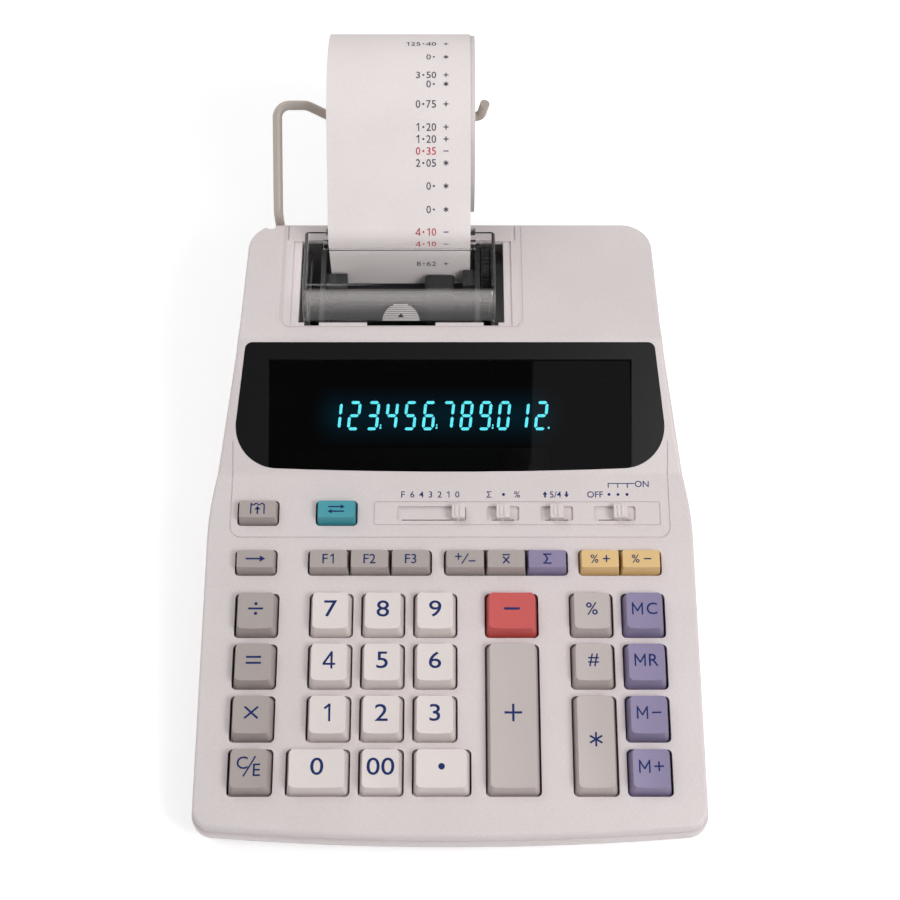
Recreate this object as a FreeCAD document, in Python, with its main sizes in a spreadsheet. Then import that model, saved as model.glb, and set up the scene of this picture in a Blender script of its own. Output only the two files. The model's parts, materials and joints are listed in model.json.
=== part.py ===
import FreeCAD, Part
import math
import os
import Sketcher

Vector = FreeCAD.Vector
Rotation = FreeCAD.Rotation
Placement = FreeCAD.Placement

doc = FreeCAD.newDocument("printing_calculator")
sheet = doc.addObject("Spreadsheet::Sheet", "Sizes")

# Driving sizes, in millimetres and degrees
DRIVING = {
    # Key grid on the sloping deck
    "key_pitch": 20.0,
    "key_bar": 2.94,
    "row_bar": 2.5,
    "left_gap": 8.6,
    "plus_gap": 9.3,
    "right_gap": 10.6,
    "plus_extra": 3.7,
    "zero_extra": 7.0,
    "point_extra": 5.1,
    "first_row": 15.7,
    "row_gap": 7.2,
    "panel_gap": 9.9,
    "small_cut": 4.1,
    "small_length": 10.4,
    "single_extra": 0.6,
    "small_shift": 1.1,
    "small_inset": 0.8,
    "hole_corner": 1.8,
    # Key caps, the parts under them and their travel
    "key_clearance": 0.5,
    "key_height": 4.6,
    "key_taper": 1.3,
    "key_front": 2.4,
    "key_back": 0.2,
    "key_corner": 1.6,
    "key_dish": 0.6,
    "small_height": 3.6,
    "small_front": 1.9,
    "small_back": 0.6,
    "small_corner": 0.7,
    "key_travel": 2.5,
    "flange_gap": 0.25,
    "flange_thick": 1.0,
    "flange_lip": 0.7,
    "stem_size": 4.0,
    "stem_length": 3.4,
    "dome_gap": 0.25,
    "dome_height": 1.7,
    "dome_base": 4.6,
    "dome_tip": 2.6,
    "mat_thick": 0.8,
    "board_thick": 1.6,
    "board_edge": 4.0,
    "board_front": 1.2,
    "board_side": 16.0,
    "deck_post": 5.0,
    # Case
    "deck_angle": 8.0,
    "deck_front": 22.46,
    "side_margin": 12.42,
    "window_margin": 11.3,
    "window_angle": 28.5,
    "window_length": 53.9,
    "top_depth": 56.0,
    "wall": 2.2,
    "rim_step": 1.1,
    "rim_face": 3.9,
    "rim_round": 0.66,
    "tub_inset": 2.6,
    "foot_height": 2.0,
    "parting": 16.5,
    "base_chamfer": 2.0,
    "front_bow": 4.0,
    "front_corner": 7.0,
    "back_corner": 12.0,
    "shoulder_lead": 16.0,
    "shoulder_inset": 11.0,
    "back_inset": 12.8,
    "shoulder_round": 120.0,
    "edge_round": 1.3,
    "valley_round": 6.0,
    "brow_round": 5.0,
    "groove_width": 0.5,
    "groove_depth": 0.35,
    "panel_margin": 8.7,
    "panel_corner": 4.6,
    "panel_rise": 13.0,
    # Slide switches
    "plate_inset": 4.5,
    "plate_length": 10.0,
    "plate_corner": 1.0,
    "slot_width": 6.0,
    "slot_depth": 1.2,
    "slit_width": 0.8,
    "slit_gap": 0.12,
    "stem_width": 1.1,
    "knob_length": 5.2,
    "knob_rise": 3.3,
    "knob_gap": 0.3,
    "decimal_start": 9.3,
    "decimal_length": 27.1,
    "decimal_rest": 24.2,
    "rate_start": 44.6,
    "rate_length": 12.8,
    "rate_rest": 6.4,
    "round_start": 65.7,
    "round_length": 12.9,
    "round_rest": 6.4,
    "power_start": 86.7,
    "power_length": 16.5,
    "power_rest": 10.3,
    # Display
    "window_side": 3.2,
    "window_swell": 4.0,
    "window_knee": 20.0,
    "window_foot": 1.0,
    "window_head": 1.7,
    "window_bow": 2.0,
    "window_gap": 0.15,
    "window_corner": 16.5,
    "window_top_corner": 3.0,
    "window_thick": 5.2,
    "window_lip": 0.9,
    "lens_side": 8.9,
    "lens_head": 10.4,
    "lens_foot": 2.6,
    "lens_angle": 4.0,
    "tube_width": 124.0,
    "tube_length": 30.0,
    "tube_thick": 7.0,
    "tube_gap": 0.3,
    # Paper, its roll and the wire that carries it
    "paper_x": -20.3,
    "paper_width": 57.0,
    "paper_thick": 0.3,
    "paper_gap": 0.3,
    "tape_back_gap": 1.8,
    "tape_turn": 2.6,
    "tape_drop": 0.5,
    "tape_over": 55.0,
    "tape_curl": 8.0,
    "tape_lift": 1.5,
    "roll_radius": 35.9,
    "roll_gap": 2.8,
    "roll_rise": 16.6,
    "roll_shift": 1.8,
    "core_radius": 7.5,
    "wire_radius": 1.95,
    "wire_gap": 0.3,
    "wire_side": 22.0,
    "wire_rise": 6.8,
    "wire_flat": 12.2,
    "wire_bend": 5.0,
    "wire_dip": 9.0,
    "wire_end": 2.7,
    "wire_hook": 8.0,
    "wire_hook_bend": 2.8,
    "wire_hook_lean": 1.6,
    "wire_stand": 4.0,
    "wire_behind": 1.0,
    "wire_drop": 11.0,
    "wire_plug": 9.0,
    "wire_plug_bend": 2.6,
    "wire_notch": 2.6,
    "wire_notch_side": 3.2,
    "wire_notch_depth": 6.0,
    # Printer
    "well_over": 5.6,
    "well_shift": 0.8,
    "well_step": 3.2,
    "well_step_depth": 0.8,
    "well_start": 5.9,
    "well_strip": 8.7,
    "well_skirt": 9.0,
    "ledge_width": 4.0,
    "ledge_thick": 1.6,
    "surround_side": 7.5,
    "surround_lead": 1.4,
    "surround_groove": 1.1,
    "tongue_length": 2.0,
    "tongue_width": 19.2,
    "tongue_inset": 8.4,
    "corner_width": 2.4,
    "bridge_half": 46.5,
    "bridge_length": 8.2,
    "bridge_line": 0.7,
    "slit_room": 2.2,
    "cover_over": 20.0,
    "cover_wall": 1.6,
    "cover_rise": 10.3,
    "cover_rake": 7.2,
    "cover_back": 7.2,
    "cover_round": 6.5,
    "cover_side_round": 2.0,
    "cover_gap": 2.4,
    "tear_gap": 0.3,
    "tear_pitch": 1.3,
    "tear_tooth": 0.9,
    "exit_room": 3.4,
    "platen_radius": 7.0,
    "platen_drop": 16.0,
    "platen_over": 3.0,
    "shaft_radius": 2.0,
    "running_gap": 0.06,
    "plate_thick": 2.0,
    "plate_gap": 0.5,
    "plate_top": 4.0,
    "frame_base": 12.0,
    "frame_front": 5.0,
    "gear_module": 0.6,
    "gear_teeth": 28,
    "pinion_teeth": 14,
    "gear_width": 3.0,
    "gear_gap": 0.8,
    "gear_slack": 0.1,
    "gear_angle": 45.0,
    "motor_radius": 12.0,
    "motor_length": 28.0,
    "motor_boss": 3.0,
    "motor_round": 2.0,
    "carriage_width": 12.0,
    "carriage_length": 11.0,
    "carriage_height": 18.0,
    "carriage_inset": 12.5,
    "carriage_round": 1.6,
    "carriage_lead": 7.0,
    "rod_drop": 17.0,
    "guide_left": 8.6,
    "guide_right": 5.0,
    "guide_length": 7.8,
    "guide_gap": 1.2,
    "guide_low": 3.0,
    "guide_left_height": 6.4,
    "guide_right_height": 9.0,
    "bar_gap": 0.3,
    "bar_thick": 0.7,
    "bar_low": 4.0,
    "bar_rise": 1.3,
    "ink_radius": 6.5,
    "ink_length": 16.0,
    "ink_lead": 17.0,
    "ink_drop": 28.0,
    "pin_radius": 1.6,
    # Base, boards and fastenings
    "board_post": 6.0,
    "board_lift": 6.0,
    "post_sink": 1.0,
    "main_width": 100.0,
    "main_depth": 44.0,
    "core_side": 15.4,
    "core_width": 40.0,
    "core_depth": 30.0,
    "core_height": 30.0,
    "coil_over": 5.0,
    "boss_radius": 3.4,
    "stand_over": 0.4,
    "screw_radius": 1.45,
    "screw_slack": 0.05,
    "screw_bite": 6.0,
    "pilot_over": 1.0,
    "head_radius": 2.7,
    "head_height": 2.0,
    "head_slack": 0.3,
    "screw_seat": 5.0,
    "screw_side": 17.2,
    "screw_rear_side": 9.6,
    "screw_front": 10.4,
    "screw_back": 8.0,
    "foot_radius": 6.0,
    "foot_side": 17.0,
    "foot_front": 20.0,
    "foot_back": 20.0,
    "inlet_radius": 3.6,
    "inlet_wall": 2.5,
    "inlet_length": 3.0,
    "inlet_x": 56.0,
}


class Size:
    """A number together with the sheet expression that it comes from."""

    def __init__(self, number, text):
        self.number = number
        self.text = text

    @staticmethod
    def of(other):
        if isinstance(other, Size):
            return other
        return Size(float(other), f"{float(other):g}")

    def joined(self, other, sign, number):
        return Size(number, f"({self.text} {sign} {other.text})")

    def __add__(self, other):
        other = Size.of(other)
        return self.joined(other, "+", self.number + other.number)

    def __sub__(self, other):
        other = Size.of(other)
        return self.joined(other, "-", self.number - other.number)

    def __mul__(self, other):
        other = Size.of(other)
        return self.joined(other, "*", self.number * other.number)

    def __truediv__(self, other):
        other = Size.of(other)
        return self.joined(other, "/", self.number / other.number)

    def __radd__(self, other):
        return Size.of(other) + self

    def __rsub__(self, other):
        return Size.of(other) - self

    def __rmul__(self, other):
        return Size.of(other) * self

    def __neg__(self):
        return Size(-self.number, f"(-1 * {self.text})")

    def __float__(self):
        return self.number


class Sizes:
    """Gives each cell of the sheet by its alias."""

    def __init__(self):
        self.rows = 0

    def put(self, alias, number, content):
        self.rows += 1
        sheet.set(f"A{self.rows}", alias)
        sheet.set(f"B{self.rows}", content)
        sheet.setAlias(f"B{self.rows}", alias)
        setattr(self, alias, Size(number, f"Sizes.{alias}"))

    def drive(self, alias, number):
        self.put(alias, float(number), str(number))

    def derive(self, alias, size):
        self.put(alias, size.number, "=" + size.text.replace("Sizes.", ""))


def sin(angle):
    return Size(math.sin(math.radians(angle.number)), f"sin({angle.text})")


def cos(angle):
    return Size(math.cos(math.radians(angle.number)), f"cos({angle.text})")


def tan(angle):
    return Size(math.tan(math.radians(angle.number)), f"tan({angle.text})")


S = Sizes()
for name, number in DRIVING.items():
    S.drive(name, number)

# Key grid
KEY_COLUMNS = 7
KEY_ROWS = 4
S.derive("hole_width", S.key_pitch - S.key_bar)
S.derive("hole_length", S.key_pitch - S.row_bar)
S.derive("grid_width", S.key_pitch * (KEY_COLUMNS - 1) + S.left_gap + S.plus_gap + S.right_gap)
S.derive("column_left", S.grid_width / -2)
S.derive("column_seven", S.column_left + S.key_pitch + S.left_gap)
S.derive("column_eight", S.column_seven + S.key_pitch)
S.derive("column_nine", S.column_eight + S.key_pitch)
S.derive("column_plus", S.column_nine + S.key_pitch + S.plus_gap)
S.derive("column_percent", S.column_plus + S.key_pitch + S.right_gap)
S.derive("column_memory", S.column_percent + S.key_pitch)
S.derive("small_pitch", S.key_pitch - S.small_cut)
S.derive("row_b", S.first_row + S.key_pitch * KEY_ROWS - S.row_bar + S.row_gap)
S.derive("row_a", S.row_b + S.small_length + S.panel_gap)
S.derive("slope_v", S.row_a + S.small_length + S.window_margin)

# Levels below the deck's top face, along its normal
S.derive("flange_top", -(S.wall + S.flange_gap))
S.derive("stem_top", S.flange_top - S.flange_thick)
S.derive("stem_bottom", S.stem_top - S.stem_length)
S.derive("mat_top", S.stem_bottom - S.dome_gap - S.dome_height)
S.derive("board_top", S.mat_top - S.mat_thick)

# Case outline, measured back from the front of the rim
S.derive("deck_half", S.grid_width / 2 + S.hole_width / 2 + S.side_margin)
S.derive("slope_start", S.slope_v * cos(S.deck_angle))
S.derive("slope_low", S.deck_front + S.slope_v * sin(S.deck_angle))
S.derive("slope_end", S.slope_start + S.window_length * cos(S.window_angle))
S.derive("top_level", S.slope_low + S.window_length * sin(S.window_angle))
S.derive("back_face", S.slope_end + S.top_depth)
S.derive("shoulder_half", S.deck_half - S.shoulder_inset)
S.derive("back_half", S.deck_half - S.back_inset)
S.derive("floor_level", S.foot_height + S.wall)

# Paper path: down behind the platen, round it, up in front of it and over the roll
S.derive("cover_width", S.paper_width + S.cover_over)
S.derive("well_width", S.cover_width + S.well_over)
S.derive("well_x", S.paper_x + S.well_shift)
S.derive("platen_length", S.paper_width + S.platen_over)
S.derive("plate_place", S.platen_length / 2 + S.plate_gap)
S.derive("path_radius", S.platen_radius + S.paper_gap + S.paper_thick / 2)
S.derive("tape_rear", S.back_face - S.wall - S.tape_back_gap)
S.derive("platen_y", S.tape_rear - S.path_radius)
S.derive("tape_front", S.platen_y - S.path_radius)
S.derive("platen_z", S.top_level - S.platen_drop)
S.derive("roll_x", S.paper_x + S.roll_shift)
S.derive("roll_y", S.back_face + S.roll_gap + S.roll_radius)
S.derive("roll_z", S.top_level + S.roll_rise)
S.derive("axle_z", S.roll_z + S.core_radius - S.wire_radius - S.wire_gap)

# The whole part is centred on its own depth
S.derive("front_y", (S.roll_y + S.roll_radius) / -2)

# Printer well
S.derive("well_front", S.slope_end + S.well_start)
S.derive("well_back", S.back_face - S.well_strip)
S.derive("gear_centres", S.gear_module * (S.gear_teeth + S.pinion_teeth) / 2 + S.gear_slack)
S.derive("frame_low", S.floor_level + S.frame_base)
S.derive("rod_y", S.tape_front - S.carriage_lead)
S.derive("rod_z", S.top_level - S.rod_drop)
doc.recompute()

PARTS = {}


def finish(label, item):
    """Names a finished sub-part."""
    item.Label = label
    PARTS[label] = item
    return item


def bind(item, **sizes):
    for name, size in sizes.items():
        size = Size.of(size)
        setattr(item, name, size.number)
        item.setExpression(name, size.text)


def place(item, x=0, y=0, z=0, axis=Vector(1, 0, 0), angle=0):
    """Puts an item's local origin at a point, turned about an axis."""
    base = [Size.of(value) for value in (x, y, z)]
    angle = Size.of(angle)
    item.Placement = Placement(Vector(*map(float, base)), Rotation(axis, angle.number))
    for letter, size in zip("xyz", base):
        item.setExpression(f".Placement.Base.{letter}", size.text)
    if angle.number:
        item.setExpression(".Placement.Rotation.Angle", angle.text)
    return item


def on_deck(item, u, v, rise=0):
    """Puts an item's local origin on the deck, u across, v up the slope."""
    v = Size.of(v)
    rise = Size.of(rise)
    y = S.front_y + v * cos(S.deck_angle) - rise * sin(S.deck_angle)
    z = S.deck_front + v * sin(S.deck_angle) + rise * cos(S.deck_angle)
    return place(item, u, y, z, angle=S.deck_angle)


def on_window(item, p, q, rise=0):
    """Puts an item's local origin on the display slope."""
    q = Size.of(q)
    rise = Size.of(rise)
    y = S.front_y + S.slope_start + q * cos(S.window_angle) - rise * sin(S.window_angle)
    z = S.slope_low + q * sin(S.window_angle) + rise * cos(S.window_angle)
    return place(item, p, y, z, angle=S.window_angle)


def back(distance):
    """Y of a point measured back from the front of the rim."""
    return S.front_y + distance


def box(name, low, high):
    item = doc.addObject("Part::Box", name)
    low = [Size.of(value) for value in low]
    high = [Size.of(value) for value in high]
    bind(item, Length=high[0] - low[0], Width=high[1] - low[1], Height=high[2] - low[2])
    return place(item, *low)


def block(name, width, length, low, high):
    """A box centred across and along, between two levels."""
    half = [Size.of(width) / 2, Size.of(length) / 2]
    return box(name, [-half[0], -half[1], low], [half[0], half[1], high])


TURNS = {
    "x": (Vector(0, 1, 0), 90),
    "y": (Vector(1, 0, 0), -90),
    "z": (Vector(0, 0, 1), 0),
}


def rod(name, radius, start, length, along):
    """A cylinder from a start point along an axis."""
    item = doc.addObject("Part::Cylinder", name)
    bind(item, Radius=radius, Height=length)
    axis, angle = TURNS[along]
    return place(item, *start, axis=axis, angle=angle)


def group(name, items):
    item = doc.addObject("Part::Compound", name)
    item.Links = items
    return item


def fuse(name, items):
    item = doc.addObject("Part::MultiFuse", name)
    item.Shapes = items
    item.Refine = True
    return item


def cut(name, base, tools):
    item = doc.addObject("Part::Cut", name)
    item.Base = base
    item.Tool = tools[0] if len(tools) == 1 else group(name + "_tools", tools)
    item.Refine = True
    return item


def common(name, first, second):
    item = doc.addObject("Part::Common", name)
    item.Base = first
    item.Tool = second
    return item


def edged(name, base, radius, wanted, kind="Part::Fillet"):
    """Rounds or chamfers the edges of a base that a test picks out."""
    doc.recompute()
    item = doc.addObject(kind, name)
    item.Base = base
    size = float(radius)
    numbers = [i for i, edge in enumerate(base.Shape.Edges, 1) if wanted(edge)]
    item.Edges = [(i, size, size) for i in numbers]
    doc.recompute()
    return item


# How near two places have to be to count as one, and how far a cut runs past what it cuts
TOUCH = 0.01
OVERCUT = 1


def run_of(edge):
    """The straight way from one end of an edge to the other."""
    ends = [vertex.Point for vertex in edge.Vertexes]
    return ends[-1] - ends[0]


def upright(edge):
    run = run_of(edge)
    return run.Length > TOUCH and run.Length - abs(run.z) < TOUCH


def rising(edge):
    return abs(run_of(edge).z) > OVERCUT / 2


def rounded_block(name, width, length, low, high, corner):
    plain = block(name + "_plain", width, length, low, high)
    return edged(name, plain, corner, upright)


def outline(name, points, turn=None):
    """A closed sketch whose corners are tied to the sheet."""
    sketch = doc.addObject("Sketcher::SketchObject", name)
    if turn:
        sketch.Placement = Placement(Vector(), turn)
    points = [[Size.of(value) for value in point] for point in points]
    count = len(points)
    for i, point in enumerate(points):
        after = points[(i + 1) % count]
        start = Vector(float(point[0]), float(point[1]), 0)
        end = Vector(float(after[0]), float(after[1]), 0)
        sketch.addGeometry(Part.LineSegment(start, end), False)
    for i in range(count):
        sketch.addConstraint(Sketcher.Constraint("Coincident", i, 2, (i + 1) % count, 1))
    for i, point in enumerate(points):
        for kind, size in zip(("DistanceX", "DistanceY"), point):
            if abs(size.number) < 1e-9:
                kind = "PointOnObject"
                axis = -2 if size is point[0] else -1
                sketch.addConstraint(Sketcher.Constraint(kind, i, 1, axis))
                continue
            number = sketch.addConstraint(Sketcher.Constraint(kind, -1, 1, i, 1, size.number))
            sketch.setExpression(f"Constraints[{number}]", size.text)
    return sketch


def extruded(name, sketch, length, symmetric=False):
    item = doc.addObject("Part::Extrusion", name)
    item.Base = sketch
    item.DirMode = "Normal"
    item.Solid = True
    item.Symmetric = symmetric
    bind(item, LengthFwd=length)
    return item


# Sketch turn that draws depth across and height up, and extrudes across the part
SIDE_TURN = Rotation(Vector(1, 1, 1), 120)
REACH = 30


def plan_block(name, inset, low, high):
    """The case seen from above: bowed front, shoulders that narrow to the back."""
    sides = [
        (S.deck_half - inset, Size.of(-REACH)),
        (S.deck_half - inset, S.slope_start - S.shoulder_lead),
        (S.shoulder_half - inset, S.slope_end),
        (S.back_half - inset, S.back_face - inset),
    ]
    points = [(x, back(y)) for x, y in sides]
    points += [(-x, y) for x, y in reversed(points)]
    sketch = outline(name + "_plan", points)
    prism = extruded(name + "_prism", sketch, high - low)
    place(prism, 0, 0, low)
    bow_radius = S.deck_half * S.deck_half / (S.front_bow * 2) + S.front_bow / 2
    centre = back(bow_radius + S.rim_step)
    bow_disc = rod(name + "_bow", bow_radius - inset, (0, centre, low), high - low, "z")
    bowed = common(name + "_bowed", prism, bow_disc)
    shoulders = edged(name + "_shoulders", bowed, S.shoulder_round, at_shoulder)
    corners = edged(name + "_front", shoulders, S.front_corner - inset, at_front)
    return edged(name + "_corners", corners, S.back_corner - inset, at_back)


def at_shoulder(edge):
    y = edge.CenterOfMass.y
    start = back(S.slope_start - S.shoulder_lead).number
    return upright(edge) and start - OVERCUT < y < back(S.slope_end).number + OVERCUT


def at_front(edge):
    return upright(edge) and edge.CenterOfMass.y < back(S.front_corner * 2).number


def at_back(edge):
    return upright(edge) and edge.CenterOfMass.y > back(S.back_face - S.back_corner).number


def roof(name, inset):
    """Everything under the deck, the display slope and the top, across the case."""
    deck = S.deck_front - inset / cos(S.deck_angle)
    rise = tan(S.window_angle) - tan(S.deck_angle)
    shift = inset / cos(S.window_angle) - inset / cos(S.deck_angle)
    valley = S.slope_start + shift / rise
    brow_rise = S.top_level - inset - S.slope_low + inset / cos(S.window_angle)
    brow = S.slope_start + brow_rise / tan(S.window_angle)
    far = S.back_face + REACH
    points = [
        (back(-REACH), Size.of(0)),
        (back(far), Size.of(0)),
        (back(far), S.top_level - inset),
        (back(brow), S.top_level - inset),
        (back(valley), deck + valley * tan(S.deck_angle)),
        (back(-REACH), deck - tan(S.deck_angle) * REACH),
    ]
    sketch = outline(name + "_side", points, SIDE_TURN)
    prism = extruded(name + "_roof", sketch, S.deck_half * 2 + REACH, True)

    def at(depth):
        place_y = back(depth).number
        return lambda edge: along_x(edge) and abs(edge.CenterOfMass.y - place_y) < TOUCH

    smooth = edged(name + "_valley", prism, S.valley_round + inset, at(valley))
    return edged(name + "_brow", smooth, S.brow_round - inset, at(brow))


def along_x(edge):
    run = run_of(edge)
    straight = isinstance(edge.Curve, Part.Line)
    return straight and run.Length > TOUCH and run.Length - abs(run.x) < TOUCH


def on_top_rim(edge):
    """Edges where the walls of the case meet its deck, slope or top."""
    box_of = edge.BoundBox
    if box_of.ZMax < S.parting.number + OVERCUT / 2 or upright(edge):
        return False
    spans = along_x(edge) and box_of.XMin < 0 < box_of.XMax
    return not spans or box_of.YMin > back(S.back_face).number - OVERCUT


outer_plan = plan_block("outer", Size.of(0), S.parting, S.top_level + REACH)
outer_sharp = common("outer_sharp", roof("outer", Size.of(0)), outer_plan)
outer_case = edged("outer_case", outer_sharp, S.edge_round, on_top_rim)
inner_plan = plan_block("inner", S.wall, S.floor_level, S.top_level + REACH)
inner_case = common("inner_case", roof("inner", S.wall), inner_plan)

# Key layout: label, column, left and right growth, row, rows spanned
KEYS = []


def add_key(label, u, width, bottom, length):
    KEYS.append({"label": label, "u": u, "width": width, "v": bottom + length / 2, "length": length})


ROWS = [S.first_row + S.key_pitch * i for i in range(KEY_ROWS)]
DIGITS = [S.column_seven, S.column_eight, S.column_nine]
for row, names in ((3, ("7", "8", "9")), (2, ("4", "5", "6")), (1, ("1", "2", "3"))):
    for column, name in zip(DIGITS, names):
        add_key("key_" + name, column, S.hole_width, ROWS[row], S.hole_length)
for row, name in ((3, "divide"), (2, "equals"), (1, "times"), (0, "clear")):
    add_key("key_" + name, S.column_left, S.hole_width, ROWS[row], S.hole_length)
for row, name in ((3, "recall"), (2, "memory"), (1, "memory_minus"), (0, "memory_plus")):
    add_key("key_" + name, S.column_memory, S.hole_width, ROWS[row], S.hole_length)
for row, name in ((3, "percent"), (2, "number")):
    add_key("key_" + name, S.column_percent, S.hole_width, ROWS[row], S.hole_length)
add_key("key_total", S.column_percent, S.hole_width, ROWS[0], S.hole_length + S.key_pitch)
add_key("key_minus", S.column_plus, S.hole_width + S.plus_extra, ROWS[3], S.hole_length)
add_key(
    "key_plus", S.column_plus, S.hole_width + S.plus_extra, ROWS[0], S.hole_length + S.key_pitch * 2
)
add_key(
    "key_0",
    S.column_seven - S.zero_extra / 2,
    S.hole_width + S.zero_extra,
    ROWS[0],
    S.hole_length,
)
add_key("key_00", S.column_eight, S.hole_width, ROWS[0], S.hole_length)
add_key(
    "key_point",
    S.column_nine + S.point_extra / 2,
    S.hole_width + S.point_extra,
    ROWS[0],
    S.hole_length,
)
BIG_KEYS = list(KEYS)

# Short keys: two above the outline of the panel, nine below it, some sharing one hole
left_small = S.column_left - S.small_shift
HOLES = [dict(key) for key in BIG_KEYS]


def add_small(labels, centre, bottom):
    """Short keys side by side in one hole."""
    count = len(labels)
    hole = S.small_pitch * count + S.single_extra
    middle = bottom + S.small_length / 2
    HOLES.append({"u": centre, "width": hole, "v": middle, "length": S.small_length})
    for i, label in enumerate(labels):
        shift = S.small_pitch * (i - (count - 1) / 2)
        add_key(label, centre + shift, S.small_pitch + S.single_extra, bottom, S.small_length)


add_small(["key_feed"], left_small, S.row_a)
add_small(["key_shift"], S.column_seven + S.small_shift, S.row_a)
add_small(["key_arrow"], left_small, S.row_b)
add_small(
    ["key_f1", "key_f2", "key_f3"],
    S.column_seven - S.hole_width / 2 + S.small_pitch * 1.5 - S.small_inset,
    S.row_b,
)
add_small(
    ["key_sign", "key_average", "key_sum"], S.column_plus - S.small_shift - S.small_inset, S.row_b
)
add_small(
    ["key_rate_plus", "key_rate_minus"],
    S.column_memory + S.hole_width / 2 - S.small_pitch - S.small_inset,
    S.row_b,
)

# Slide switches: each slot's start along the plate, its length and where its knob rests
SWITCHES = {
    "decimal": (S.decimal_start, S.decimal_length, S.decimal_rest),
    "rate": (S.rate_start, S.rate_length, S.rate_rest),
    "round": (S.round_start, S.round_length, S.round_rest),
    "power": (S.power_start, S.power_length, S.power_rest),
}
S.derive("plate_left", S.column_eight - S.plate_inset)
S.derive("plate_right", S.column_memory + S.hole_width / 2)
S.derive("plate_v", S.row_a + S.small_length / 2)


def ring(name, width, length, corner, depth, groove):
    """A thin groove round a rounded rectangle, cut to a depth."""
    outer = rounded_block(name + "_out", width, length, -depth, OVERCUT, corner)
    narrow = groove * 2
    low = -depth - OVERCUT
    inner = rounded_block(
        name + "_in", width - narrow, length - narrow, low, OVERCUT * 2, corner - groove
    )
    return cut(name, outer, [inner])


def deck_cuts():
    tools = []
    for i, hole in enumerate(HOLES):
        tool = rounded_block(
            f"hole_{i}", hole["width"], hole["length"], -(S.wall * 2), S.wall, S.hole_corner
        )
        tools.append(on_deck(tool, hole["u"], hole["v"]))
    for name, (start, length, _) in SWITCHES.items():
        u = S.plate_left + start + length / 2
        slot = rounded_block(
            f"{name}_slot", length, S.slot_width, -S.slot_depth, S.wall, S.hole_corner / 2
        )
        reach = (length - S.knob_length + S.stem_width) / 2 + S.slit_gap
        near = S.slot_width / -2
        slit = box(f"{name}_slit", [-reach, near, -(S.wall * 2)], [reach, near + S.slit_width, S.wall])
        tools.append(on_deck(fuse(f"{name}_track", [slot, slit]), u, S.plate_v))
    plate = ring(
        "plate_line",
        S.plate_right - S.plate_left,
        S.plate_length,
        S.plate_corner,
        S.groove_depth,
        S.groove_width,
    )
    tools.append(on_deck(plate, (S.plate_left + S.plate_right) / 2, S.plate_v))
    low = S.row_a - S.panel_gap / 2
    high = S.slope_v + S.panel_corner
    panel = ring(
        "panel_line",
        (S.deck_half - S.panel_margin) * 2,
        high - low,
        S.panel_corner,
        S.groove_depth,
        S.groove_width,
    )
    reach = (high - low) / 2
    strip = box(
        "panel_strip",
        [-S.deck_half, -reach - OVERCUT, -OVERCUT],
        [S.deck_half, S.slope_v - low - reach, OVERCUT * 2],
    )
    line = common("panel_groove", panel, strip)
    tools.append(on_deck(line, 0, (low + high) / 2))
    for side, name in ((-1, "left"), (1, "right")):
        rim = (S.deck_half - S.panel_margin) * side
        near, far = sorted((rim, rim - S.groove_width * side), key=float)
        rise = box(
            f"{name}_panel_rise",
            [near, -S.groove_width, -S.groove_depth],
            [far, S.panel_rise, OVERCUT],
        )
        tools.append(on_window(group(f"{name}_panel_line", [rise]), 0, 0))
    return tools


def window_block(name, grow, low, high):
    """The display window's outline, widest at its knee, on the display slope."""
    top = S.shoulder_half - S.window_side
    wide = top + S.window_swell
    head = S.window_length - S.window_head
    points = [
        (top + grow, head + grow),
        (wide + grow, S.window_knee),
        (wide + grow, S.window_foot - S.window_bow - grow),
    ]
    points += [(-x, y) for x, y in reversed(points)]
    sketch = outline(name + "_sketch", points)
    prism = extruded(name + "_prism", sketch, high - low)
    place(prism, 0, 0, low)
    bow_radius = wide * wide / (S.window_bow * 2) + S.window_bow / 2
    bow_disc = rod(
        name + "_bow", bow_radius + grow, (0, bow_radius + S.window_foot, low), high - low, "z"
    )
    prism = common(name + "_bowed", prism, bow_disc)
    knee = S.window_knee.number
    sharp = float(head) - OVERCUT
    rounder = edged(
        name + "_low", prism, S.window_corner, lambda e: upright(e) and e.CenterOfMass.y < knee / 2
    )
    return edged(
        name,
        rounder,
        S.window_top_corner,
        lambda e: upright(e) and e.CenterOfMass.y > sharp,
    )


def display_window():
    """One smoked moulding, with its lens set back under a brow."""
    face = window_block("window_face", Size.of(0), -S.window_thick, Size.of(0))
    lip = window_block(
        "window_back", S.window_lip, -S.window_thick, -(S.wall + S.window_gap)
    )
    plate = fuse("window_plate", [face, lip])
    wide = (S.shoulder_half - S.window_side) * 2
    lens_top = S.window_length - S.window_head - S.lens_head
    recess = box(
        "lens_recess",
        [-(wide / 2 - S.lens_side), 0, 0],
        [wide / 2 - S.lens_side, lens_top, S.window_thick],
    )
    place(recess, -(wide / 2 - S.lens_side), S.window_foot + S.lens_foot, 0, angle=-S.lens_angle)
    window = cut("window", plate, [recess])
    on_window(window, 0, 0)
    return finish("display_window", window)


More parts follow.
